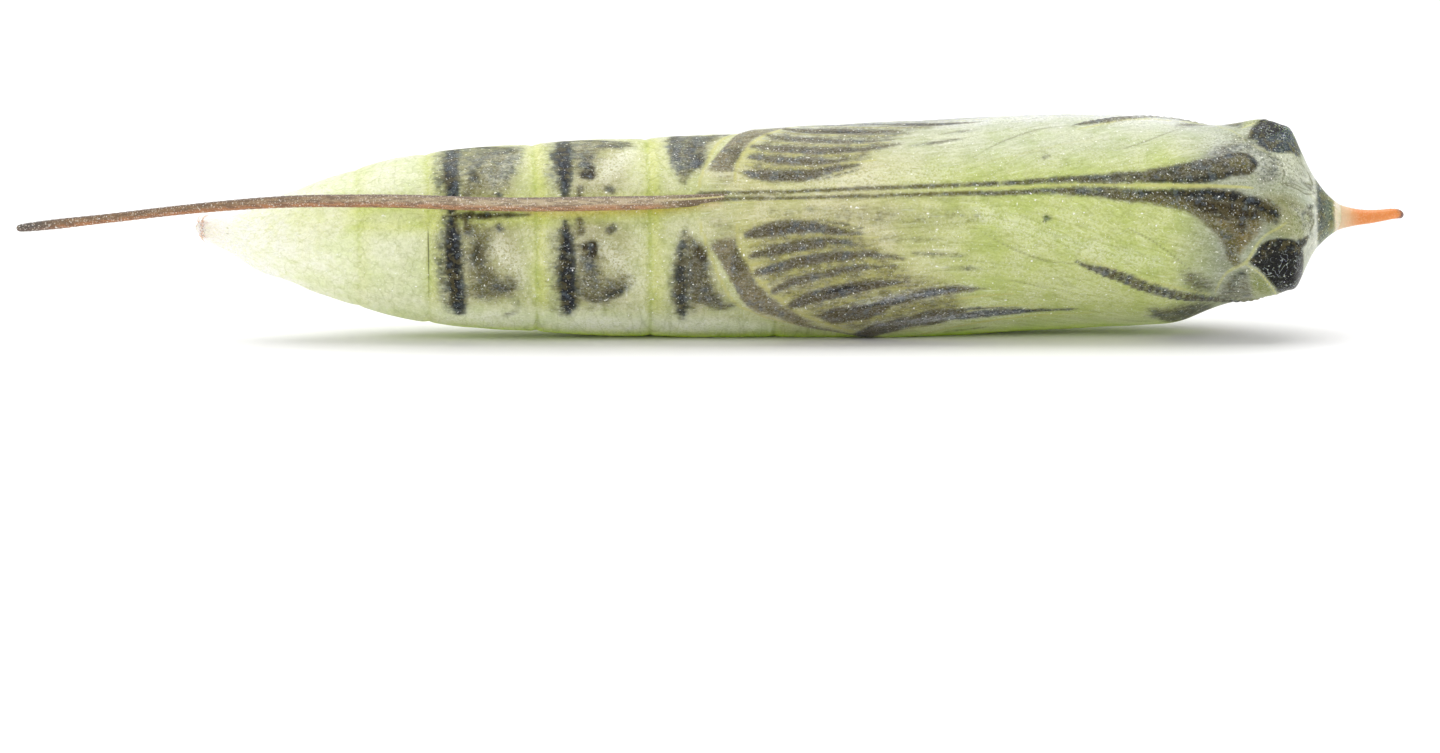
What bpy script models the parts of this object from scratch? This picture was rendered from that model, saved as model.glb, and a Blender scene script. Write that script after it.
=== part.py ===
"""Skipper chrysalis: one closed solid, lying on its left side, its belly towards -Y and its head towards +X.

The pupa grew as one piece, so its ringed abdomen, wing cases, feelers, eyes, tail spine, brow horn and
long tongue case are joined in one object. The shape is first worked out in millimetres in the animal's
own frame: s runs forwards from the tip of the tail, v runs from the body's axis to the belly, and w runs
to the animal's right. It is then rolled and tilted as it lies, and set down on Z = 0.
"""

import math

import bmesh
import bpy
import numpy as np

MM = 0.001

# How it lies, in degrees: the belly faces the viewer and turns upwards, and the head end is raised
BELLY_TURNED_UP = 26.0
HEAD_RAISED = 1.9
# The depth, in millimetres, to which the soft skin is flattened where it rests
FLATTENED = 0.12

# Body outline, as (station, value) pairs in millimetres
HALF_WIDTH = (
    (0.0, 0.12), (0.2, 0.28), (0.85, 0.50), (1.2, 0.68), (1.75, 1.00), (2.7, 1.34), (3.7, 1.70),
    (5.4, 2.24), (6.4, 2.47), (8.4, 2.70), (11.5, 2.90), (15.6, 3.02), (20.0, 3.12), (24.0, 3.08),
    (26.6, 3.05), (28.4, 2.95), (29.4, 2.76), (30.4, 2.56), (31.3, 2.46), (32.0, 2.42), (32.5, 2.34),
    (32.85, 2.25), (33.1, 1.74), (33.35, 1.22), (33.7, 0.76), (34.05, 0.46), (34.25, 0.34),
)
BACK_LINE = (
    (0.0, 2.44), (0.45, 1.80), (0.93, 1.37), (1.85, 0.72), (2.57, 0.25), (3.2, -0.15), (4.45, -0.65),
    (6.4, -1.25), (7.75, -1.53), (9.6, -1.80), (11.45, -2.10), (13.3, -2.36), (15.15, -2.59),
    (17.65, -2.84), (20.1, -3.06), (22.6, -3.20), (25.4, -3.32), (26.95, -3.29), (28.5, -3.08),
    (29.4, -2.80), (30.3, -2.36), (31.3, -1.76), (32.2, -1.18), (32.85, -0.76), (33.3, -0.53),
    (33.8, -0.40), (34.25, -0.28),
)
BELLY_LINE = (
    (0.0, 2.64), (0.45, 2.46), (0.93, 2.12), (1.4, 1.95), (1.86, 1.96), (2.2, 2.16), (2.6, 2.44),
    (3.2, 2.64), (4.45, 2.92), (5.35, 3.06), (6.4, 3.16), (7.75, 3.25), (10.0, 3.28), (20.0, 3.30),
    (28.0, 3.28), (29.4, 3.22), (30.3, 3.12), (31.3, 2.98), (32.2, 2.70), (32.85, 2.36),
    (33.3, 1.80), (33.8, 1.02), (34.25, 0.52),
)
# The whole body bends a little to its right at the shoulders
BEND = (
    (0.0, 0.0), (22.0, 0.03), (24.4, 0.11), (26.0, 0.14), (28.0, 0.08), (30.0, 0.02), (32.0, 0.0),
    (34.25, -0.05),
)
# Relief grows from none at the tip of the tail, and fades again before the brow
TAIL_FADE = 3.0
BROW_START = 33.2
BROW_FADE = 3.0

# Rings between the abdomen's segments, and how each is cut, in millimetres
RINGS = (3.0, 4.75, 6.85, 10.05, 13.45, 17.15, 20.4)
RING_SLANT = 0.10
RING_DEPTH = 0.085
RING_WIDTH = 0.17
SEGMENT_SWELL = 0.05
SWELL_ROUNDNESS = 0.8
BELLY_NOTCH = 0.10
BELLY_NOTCH_ANGLE = 42.0

# Rear edge of the wing cases: (degrees round from the belly's midline, station)
WING_EDGE = (
    (0.0, 15.0), (20.0, 15.15), (28.0, 15.45), (45.0, 15.95), (62.0, 16.4), (73.0, 17.1),
    (78.0, 17.9), (84.0, 18.7), (93.0, 19.6), (104.0, 20.55), (112.0, 21.6), (180.0, 26.0),
)
WING_TOP_ANGLE = 109.0
WING_TOP_BLEND = 5.0
WING_FRONT = 28.4
WING_FRONT_BLEND = 1.2
WING_HEIGHT = 0.12
WING_LEDGE = 0.30

# Feelers, as (station, degrees round from the belly's midline), with the ridge's size in millimetres
FEELER_PATH = (
    (26.6, 41.0), (27.8, 52.0), (28.7, 61.0), (29.3, 66.0), (30.2, 79.0), (31.0, 94.0), (32.2, 119.0),
)
FEELER_HALF_WIDTH = 0.17
FEELER_HEIGHT = 0.09
FEELER_FADE = 0.5

# Eyes: (station, degrees round), then half length and half width on the skin, and height, in millimetres
EYE_PLACE = (32.1, 68.0)
EYE_SIZE = (1.05, 1.3)
EYE_HEIGHT = 0.34

# Shoulders, where the thorax stands out before the narrower head, stated as the eyes are
SHOULDER_PLACE = (29.3, 112.0)
SHOULDER_SIZE = (0.8, 1.6)
SHOULDER_HEIGHT = 0.16

# Palps, the two long swellings beside the midline of the face, stated as the eyes are
PALP_PLACE = (31.0, 15.0)
PALP_SIZE = (1.3, 0.42)
PALP_HEIGHT = 0.10

# Groove along the belly in which the tongue case lies, with the stations where it starts and ends
GROOVE_HALF_WIDTH = 0.42
GROOVE_DEPTH = 0.15
GROOVE_START = 2.5
GROOVE_END = 15.0
GROOVE_FADE = 1.5

# Tongue case: (station, sideways swing) and (station, height) of its line, and (station, radius)
TONGUE_SWING = (
    (-5.4, 0.33), (-2.6, 0.43), (0.0, 0.53), (2.7, 0.54), (5.35, 0.40), (9.0, 0.12), (12.0, 0.03),
    (17.0, 0.0),
)
TONGUE_LINE = (
    (-5.4, 2.02), (-2.64, 2.40), (0.0, 2.76), (2.7, 3.08), (5.35, 3.30), (7.0, 3.42), (9.0, 3.45),
    (14.0, 3.45), (15.2, 3.36), (17.0, 3.10),
)
TONGUE_RADIUS = (
    (-5.4, 0.06), (-5.25, 0.105), (-4.9, 0.135), (-2.6, 0.14), (0.0, 0.15), (2.7, 0.18), (9.0, 0.21),
    (15.0, 0.20), (17.0, 0.16),
)
# Points along its line: the step, and the extra points that round its tip
TONGUE_STEP = 0.55
TONGUE_TIP_STEPS = (0.0, 0.07, 0.17, 0.32)
TONGUE_BEVEL = 2

# Brow horn: (station, height above the axis towards the belly, swing) and its radius at each point
HORN_POINTS = (
    (33.7, 0.20, -0.04, 0.38), (34.05, 0.14, -0.05, 0.42), (34.35, 0.09, -0.05, 0.33),
    (34.7, 0.05, -0.05, 0.25), (35.1, 0.02, -0.04, 0.205), (35.5, 0.0, 0.0, 0.175),
    (35.75, -0.06, 0.05, 0.16), (35.95, -0.19, 0.09, 0.14), (36.02, -0.32, 0.11, 0.115),
    (36.04, -0.42, 0.12, 0.06),
)
HORN_BEVEL = 3

# How finely the skin is faceted: the step between rings from each station on
SKIN_SIDES = 36
SKIN_STEPS = ((0.0, 0.42), (14.7, 0.32), (21.6, 0.46), (26.6, 0.34), (30.6, 0.25))
SKIN_END = 34.25
# Beside each segment ring, as shares of its width: where two more rings stand, and how near no others come
RING_SIDE = 1.2
RING_CLEAR = 1.6
# How far the points that close the two ends stand beyond the last rings
END_POINT = 0.05
# Points of a rod closer than this, in millimetres, are one
WELD = 0.001


def along(points, at):
    """Value at each station of a smooth line through (station, value) points: a cubic between neighbours."""
    x, y = np.array(points, float).T[:2]
    slope = np.gradient(y, x)
    at = np.clip(np.asarray(at, float), x[0], x[-1])
    left = np.clip(np.searchsorted(x, at, side="right") - 1, 0, len(x) - 2)
    gap = x[left + 1] - x[left]
    t = (at - x[left]) / gap
    return (
        (2 * t**3 - 3 * t**2 + 1) * y[left]
        + (t**3 - 2 * t**2 + t) * gap * slope[left]
        + (3 * t**2 - 2 * t**3) * y[left + 1]
        + (t**3 - t**2) * gap * slope[left + 1]
    )


def ease(x):
    """0 below 0, 1 above 1, and a smooth step between."""
    x = np.clip(x, 0.0, 1.0)
    return x * x * (3 - 2 * x)


def wing_cover(s, turn):
    """1 where the wing cases and face cover the body, and 0 behind and above them."""
    behind = ease((s - along(WING_EDGE, turn)) / WING_LEDGE + 0.5)
    above = ease((WING_TOP_ANGLE - turn) / WING_TOP_BLEND + 0.5)
    in_front = ease((s - WING_FRONT) / WING_FRONT_BLEND)
    return behind * (above + (1 - above) * in_front)


def slanted(s, turn):
    """Rings lean: their belly side is nearer the head, except at the two ends of the body."""
    share = ease(s / TAIL_FADE) * ease((BROW_START - s) / BROW_FADE)
    return s + RING_SLANT * np.cos(np.radians(turn)) * share


def ring_relief(s, turn, cover):
    """The cut at each ring between segments, and the swelling of the segment between two rings."""
    relief = np.zeros_like(s)
    belly = np.exp(-((turn / BELLY_NOTCH_ANGLE) ** 2))
    for ring in RINGS:
        line = slanted(ring, turn)
        relief -= (RING_DEPTH + BELLY_NOTCH * belly) * np.exp(-(((s - line) / RING_WIDTH) ** 2))
    for rear, front in zip(RINGS[:-1], RINGS[1:]):
        part = np.clip((s - rear) / (front - rear), 0.0, 1.0)
        relief += SEGMENT_SWELL * np.sin(math.pi * part) ** SWELL_ROUNDNESS
    return relief * (1 - cover)


def feeler_relief(s, turn, width):
    """A rounded ridge along each feeler's path, by the distance round the body from the path."""
    stations, angles = np.array(FEELER_PATH).T
    ahead = np.interp(s, stations, angles)
    steep = np.gradient(angles, stations)
    lean = np.cos(np.arctan(np.radians(np.interp(s, stations, steep)) * width))
    off = np.radians(turn - ahead) * width * lean
    ends = ease((s - stations[0]) / FEELER_FADE) * ease((stations[-1] - s) / FEELER_FADE)
    return FEELER_HEIGHT * ends * np.exp(-((off / FEELER_HALF_WIDTH) ** 2))


def lump(s, turn, width, place, size, height):
    """A rounded lump on the skin: its height times a bell of the distance from its place."""
    along_body = s - place[0]
    round_body = np.radians(turn - place[1]) * width
    return height * np.exp(-((along_body / size[0]) ** 2) - (round_body / size[1]) ** 2)


def groove(s, turn, width):
    """The shallow groove along the belly in which the tongue case lies, behind the wing cases."""
    off = np.radians(turn) * width
    ends = ease((s - GROOVE_START) / GROOVE_FADE) * ease((GROOVE_END - s) / GROOVE_FADE)
    return GROOVE_DEPTH * ends * np.exp(-((off / GROOVE_HALF_WIDTH) ** 2))


def body_point(s, angle):
    """(s, v, w) of the skin at a station and an angle in degrees from the belly's midline, right positive."""
    turn = np.abs(angle)
    width = along(HALF_WIDTH, s)
    back = along(BACK_LINE, s)
    belly = along(BELLY_LINE, s)
    cover = wing_cover(s, turn)
    relief = WING_HEIGHT * cover * ease((BROW_START - s) / BROW_FADE)
    relief += ring_relief(s, turn, cover)
    relief += feeler_relief(s, turn, width)
    relief += lump(s, turn, width, EYE_PLACE, EYE_SIZE, EYE_HEIGHT)
    relief += lump(s, turn, width, SHOULDER_PLACE, SHOULDER_SIZE, SHOULDER_HEIGHT)
    relief += lump(s, turn, width, PALP_PLACE, PALP_SIZE, PALP_HEIGHT)
    relief -= groove(s, turn, width)
    relief *= ease(s / TAIL_FADE)
    middle = (belly + back) / 2
    depth = (belly - back) / 2
    round_cos = np.cos(np.radians(angle))
    round_sin = np.sin(np.radians(angle))
    return s, middle + (depth + relief) * round_cos, along(BEND, s) + (width + relief) * round_sin


def lie_down(s, v, w):
    """Points in millimetres as the animal lies, from its own frame: +X is its head end and +Z is up."""
    turned = math.radians(BELLY_TURNED_UP)
    raised = math.radians(HEAD_RAISED)
    y = w * math.sin(turned) - v * math.cos(turned)
    up = v * math.sin(turned) + w * math.cos(turned)
    x = s * math.cos(raised) - up * math.sin(raised)
    z = s * math.sin(raised) + up * math.cos(raised)
    return np.stack([x, y, z], axis=1)


def skin_stations():
    """Stations of the skin's rings: closer where the shape is finer, and three at each segment ring."""
    starts = [start for start, _ in SKIN_STEPS] + [SKIN_END]
    stations = []
    for (start, step), end in zip(SKIN_STEPS, starts[1:]):
        stations += list(np.arange(start, end - step / 2, step))
    for ring in RINGS:
        stations = [s for s in stations if abs(s - ring) > RING_WIDTH * RING_CLEAR]
        stations += [ring - RING_WIDTH * RING_SIDE, ring, ring + RING_WIDTH * RING_SIDE]
    return np.array(sorted(stations) + [SKIN_END])


def skin_material():
    """Pale green translucent skin, as a plain colour."""
    material = bpy.data.materials.new("pupal_skin")
    material.use_nodes = True
    shader = material.node_tree.nodes["Principled BSDF"]
    shader.inputs["Base Color"].default_value = (0.60, 0.66, 0.36, 1.0)
    shader.inputs["Roughness"].default_value = 0.42
    shader.inputs["Metallic"].default_value = 0.0
    return material


def make_skin(collection):
    """The body: a sphere's rings are moved to the stations, and their points to the section there."""
    stations = skin_stations()
    ball = bmesh.new()
    bmesh.ops.create_uvsphere(ball, u_segments=SKIN_SIDES, v_segments=len(stations) + 1, radius=1.0)
    mesh = bpy.data.meshes.new("chrysalis")
    ball.to_mesh(mesh)
    ball.free()
    unit = np.empty(len(mesh.vertices) * 3)
    mesh.vertices.foreach_get("co", unit)
    unit = unit.reshape(-1, 3)
    ring = np.arccos(np.clip(unit[:, 2], -1.0, 1.0)) / math.pi * (len(stations) + 1)
    ring = np.rint(ring).astype(int)
    angle = np.degrees(np.arctan2(unit[:, 1], unit[:, 0]))
    level = stations[np.clip(ring - 1, 0, len(stations) - 1)]
    s, v, w = body_point(slanted(level, np.abs(angle)), angle)
    for pole, end, beyond in ((0, stations[0], -END_POINT), (len(stations) + 1, stations[-1], END_POINT)):
        at = ring == pole
        s[at] = end + beyond
        v[at] = (along(BELLY_LINE, end) + along(BACK_LINE, end)) / 2
        w[at] = along(BEND, end)
    mesh.vertices.foreach_set("co", lie_down(s, v, w).ravel())
    mesh.update()
    body = bpy.data.objects.new("chrysalis", mesh)
    collection.objects.link(body)
    return body


def make_rod(name, points, radii, bevel, collection):
    """A closed rod along points, as a curve with a bevel, made a mesh so that it can be joined."""
    curve = bpy.data.curves.new(name, "CURVE")
    curve.dimensions = "3D"
    curve.bevel_depth = 1.0
    curve.bevel_resolution = bevel
    curve.use_fill_caps = True
    spline = curve.splines.new("POLY")
    spline.points.add(len(points) - 1)
    for place, point, radius in zip(spline.points, points, radii):
        place.co = (*point, 1.0)
        place.radius = radius
    line = bpy.data.objects.new(name + "_line", curve)
    collection.objects.link(line)
    bpy.context.view_layer.update()
    mesh = bpy.data.meshes.new_from_object(line.evaluated_get(bpy.context.evaluated_depsgraph_get()))
    bpy.data.objects.remove(line)
    whole = bmesh.new()
    whole.from_mesh(mesh)
    bmesh.ops.remove_doubles(whole, verts=whole.verts, dist=WELD)
    bmesh.ops.recalc_face_normals(whole, faces=whole.faces)
    whole.to_mesh(mesh)
    whole.free()
    rod = bpy.data.objects.new(name, mesh)
    collection.objects.link(rod)
    return rod


def make_tongue(collection):
    """The tongue case: it leaves the wing cases' rear edge and lies free along the belly, past the tail."""
    first, last = TONGUE_LINE[0][0], TONGUE_LINE[-1][0]
    even = np.linspace(first, last, int((last - first) / TONGUE_STEP) + 1)
    s = np.concatenate([first + np.array(TONGUE_TIP_STEPS), even[1:]])
    points = lie_down(s, along(TONGUE_LINE, s), along(TONGUE_SWING, s))
    return make_rod("tongue_case", points, along(TONGUE_RADIUS, s), TONGUE_BEVEL, collection)


def make_horn(collection):
    """The brow horn, a tapering rod whose tip hooks towards the back."""
    s, v, w, radius = np.array(HORN_POINTS).T
    return make_rod("brow_horn", lie_down(s, v, w), radius, HORN_BEVEL, collection)


def join(body, piece):
    """Joins a piece to the body with a Boolean union, and applies it."""
    union = body.modifiers.new("join_" + piece.name, "BOOLEAN")
    union.operation = "UNION"
    union.solver = "EXACT"
    union.object = piece
    bpy.context.view_layer.update()
    mesh = bpy.data.meshes.new_from_object(body.evaluated_get(bpy.context.evaluated_depsgraph_get()))
    body.modifiers.clear()
    body.data = mesh
    bpy.data.objects.remove(piece)


def set_down(body):
    """Flattens what the body rests on, and stands it in metres on Z = 0, its box centred on the origin."""
    at = np.empty(len(body.data.vertices) * 3)
    body.data.vertices.foreach_get("co", at)
    at = at.reshape(-1, 3)
    rest = at[:, 2].min() + FLATTENED
    at[:, 2] = np.maximum(at[:, 2], rest)
    middle = (at.min(axis=0) + at.max(axis=0)) / 2
    at -= (middle[0], middle[1], rest)
    body.data.vertices.foreach_set("co", at.ravel() * MM)
    body.data.update()


def main():
    for old in list(bpy.data.objects):
        bpy.data.objects.remove(old)
    collection = bpy.data.collections.new("skipper_chrysalis")
    bpy.context.scene.collection.children.link(collection)
    body = make_skin(collection)
    join(body, make_tongue(collection))
    join(body, make_horn(collection))
    set_down(body)
    body.data.materials.clear()
    body.data.materials.append(skin_material())
    body.data.shade_smooth()


main()
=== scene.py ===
"""Looks of the skipper chrysalis: skin, tongue case, brow horn, tail bristles, breathing holes and studio.

The file is laid out as a Blender add-on and is run as a script. Every shape is worked out in millimetres in
the animal's own frame: s runs forwards from the tip of the tail, v runs from the body's axis to the belly,
and w runs to the animal's right. lying() then rolls and tilts it onto its left side, in metres.
"""

import math

import bpy
import numpy as np
from bpy.props import FloatProperty, FloatVectorProperty, IntProperty, PointerProperty
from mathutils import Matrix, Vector


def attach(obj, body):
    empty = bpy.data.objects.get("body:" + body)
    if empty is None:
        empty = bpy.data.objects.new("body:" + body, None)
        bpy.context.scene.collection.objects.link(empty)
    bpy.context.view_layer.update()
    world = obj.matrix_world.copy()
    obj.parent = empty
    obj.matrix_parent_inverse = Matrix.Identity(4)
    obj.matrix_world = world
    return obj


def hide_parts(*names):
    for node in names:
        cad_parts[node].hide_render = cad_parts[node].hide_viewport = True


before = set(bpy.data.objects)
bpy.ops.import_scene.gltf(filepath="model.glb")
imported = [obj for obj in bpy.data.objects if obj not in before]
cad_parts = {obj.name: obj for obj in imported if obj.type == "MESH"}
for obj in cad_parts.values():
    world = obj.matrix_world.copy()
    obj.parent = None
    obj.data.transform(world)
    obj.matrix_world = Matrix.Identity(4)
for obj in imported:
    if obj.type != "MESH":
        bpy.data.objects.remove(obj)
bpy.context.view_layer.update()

bl_info = {
    "name": "Skipper Chrysalis",
    "version": (1, 0, 0),
    "blender": (4, 5, 0),
    "location": "3D View > Sidebar > Chrysalis",
    "description": "Builds a skipper chrysalis with its markings, tongue case and horn, and a pale studio",
    "category": "Add Mesh",
}

MM = 0.001
CAD_NODE = "chrysalis"
BODY = "root"

# How it lies, in degrees, and the point of the animal's lying frame, in millimetres, that is the origin
BELLY_TURNED_UP = 26.0
HEAD_RAISED = 1.9
ORIGIN = (15.3306, -0.0495, -2.3667)

# Body outline, as (station, value) pairs in millimetres
HALF_WIDTH = (
    (0, 0.12), (0.2, 0.28), (0.85, 0.5), (1.2, 0.68), (1.75, 1), (2.7, 1.34), (3.7, 1.7), (5.4, 2.24),
    (6.4, 2.47), (8.4, 2.7), (11.5, 2.9), (15.6, 3.02), (20, 3.12), (24, 3.08), (26.6, 3.05), (28.4, 2.95),
    (29.4, 2.76), (30.4, 2.56), (31.3, 2.46), (32, 2.42), (32.5, 2.34), (32.85, 2.25), (33.1, 1.74),
    (33.35, 1.22), (33.7, 0.76), (34.05, 0.46), (34.25, 0.34),
)
BACK_LINE = (
    (0, 2.44), (0.45, 1.8), (0.93, 1.37), (1.85, 0.72), (2.57, 0.25), (3.2, -0.15), (4.45, -0.65),
    (6.4, -1.25), (7.75, -1.53), (9.6, -1.8), (11.45, -2.1), (13.3, -2.36), (15.15, -2.59), (17.65, -2.84),
    (20.1, -3.06), (22.6, -3.2), (25.4, -3.32), (26.95, -3.29), (28.5, -3.08), (29.4, -2.8), (30.3, -2.36),
    (31.3, -1.76), (32.2, -1.18), (32.85, -0.76), (33.3, -0.53), (33.8, -0.4), (34.25, -0.28),
)
BELLY_LINE = (
    (0, 2.64), (0.45, 2.46), (0.93, 2.12), (1.4, 1.95), (1.86, 1.96), (2.2, 2.16), (2.6, 2.44), (3.2, 2.64),
    (4.45, 2.92), (5.35, 3.06), (6.4, 3.16), (7.75, 3.25), (10, 3.28), (20, 3.3), (28, 3.28), (29.4, 3.22),
    (30.3, 3.12), (31.3, 2.98), (32.2, 2.7), (32.85, 2.36), (33.3, 1.8), (33.8, 1.02), (34.25, 0.52),
)
BEND = (
    (0, 0), (22, 0.03), (24.4, 0.11), (26, 0.14), (28, 0.08), (30, 0.02), (32, 0), (34.25, -0.05),
)
SKIN_END = 34.25
TAIL_FADE = 3.0
BROW_START = 33.2
BROW_FADE = 3.0
BROW_RING = (33.40, 34.17)
BROW_RING_EDGE = 0.20

# Rings between the abdomen's segments
RINGS = (3.0, 4.75, 6.85, 10.05, 13.45, 17.15, 20.4)
RING_SLANT = 0.10
RING_FADE = 9.0
RING_PALE = 1.5
BELLY_NOTCH_ANGLE = 42.0
MEMBRANE_PLACE = 0.14
MEMBRANE_WIDTH = 0.26
FOLD_LINE = 0.06
SWELL_ROUNDNESS = 0.8

# Rear edge of the wing cases: (degrees round from the belly's midline, station)
WING_EDGE = (
    (0, 15), (20, 15.15), (28, 15.45), (45, 15.95), (62, 16.4), (73, 17.1), (78, 17.9), (84, 18.7),
    (93, 19.6), (104, 20.55), (112, 21.6), (180, 26),
)
WING_TOP_ANGLE = 109.0
WING_TOP_BLEND = 4.0
WING_FRONT = 28.4
WING_FRONT_BLEND = 1.2

# How far round the body the wing and leg cases' fine streaks wander: (station, degrees)
FLOW = (
    (0, 0), (15, 0), (18, -6), (22, -13), (24, -8), (27, 14), (30, 40), (32, 48), (34.25, 50),
)
FLOW_STRETCH = 0.13

# How close the skin's points are along and round the body: (start, end, density)
ROWS_DENSITY = (
    (0.0, 0.6, 1.0), (0.6, 6.6, 0.75), (6.6, 15.2, 1.05), (15.2, 22.0, 1.25), (22.0, 26.5, 0.9),
    (26.5, 30.4, 1.1), (30.4, 34.0, 1.9), (34.0, 34.3, 1.6),
)
COLUMNS_DENSITY = ((0.0, 12.0, 1.5), (12.0, 112.0, 1.25), (112.0, 181.0, 0.6))

# Lumps of the head: (station, degrees round), then half length and half width on the skin in millimetres
EYE_PLACE = (32.1, 68.0)
EYE_SIZE = (1.05, 1.3)
SHOULDER_PLACE = (29.3, 112.0)
SHOULDER_SIZE = (0.8, 1.6)
PALP_PLACE = (31.0, 15.0)
PALP_SIZE = (1.3, 0.42)

# Groove along the belly in which the tongue case lies
GROOVE_HALF_WIDTH = 0.42
GROOVE_START = 2.5
GROOVE_END = 15.0
GROOVE_FADE = 1.5

# Tongue case: (station, sideways swing), (station, height) and (station, radius) of its line
TONGUE_SWING = (
    (-5.4, 0.33), (-2.6, 0.43), (0, 0.53), (2.7, 0.54), (5.35, 0.4), (9, 0.12), (12, 0.03), (14, 0.03),
    (15.2, 0.09), (16.2, 0.17), (17, 0.19),
)
TONGUE_LINE = (
    (-5.4, 2.02), (-2.64, 2.4), (0, 2.76), (2.7, 3.08), (5.35, 3.3), (7, 3.42), (9, 3.45), (13, 3.45),
    (14.2, 3.4), (15.2, 3.33), (16.2, 3.24), (17, 3.1),
)
TONGUE_RADIUS = (
    (-5.4, 0.03), (-5.38, 0.07), (-5.32, 0.1), (-5.2, 0.12), (-4.9, 0.135), (-2.6, 0.14), (0, 0.15),
    (2.7, 0.18), (9, 0.21), (13.6, 0.205), (14.6, 0.19), (15.4, 0.165), (16.2, 0.14), (17, 0.11),
)

# Brow horn: (station, height towards the belly, swing, radius) along its line
HORN_POINTS = (
    (33.7, 0.2, -0.04, 0.38), (34.05, 0.14, -0.05, 0.42), (34.35, 0.09, -0.05, 0.33),
    (34.7, 0.05, -0.05, 0.25), (35.1, 0.02, -0.04, 0.205), (35.5, 0, 0, 0.175), (35.75, -0.06, 0.05, 0.16),
    (35.95, -0.19, 0.09, 0.14), (36.02, -0.32, 0.11, 0.115), (36.04, -0.4, 0.12, 0.085),
    (36.04, -0.43, 0.12, 0.03),
)

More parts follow.
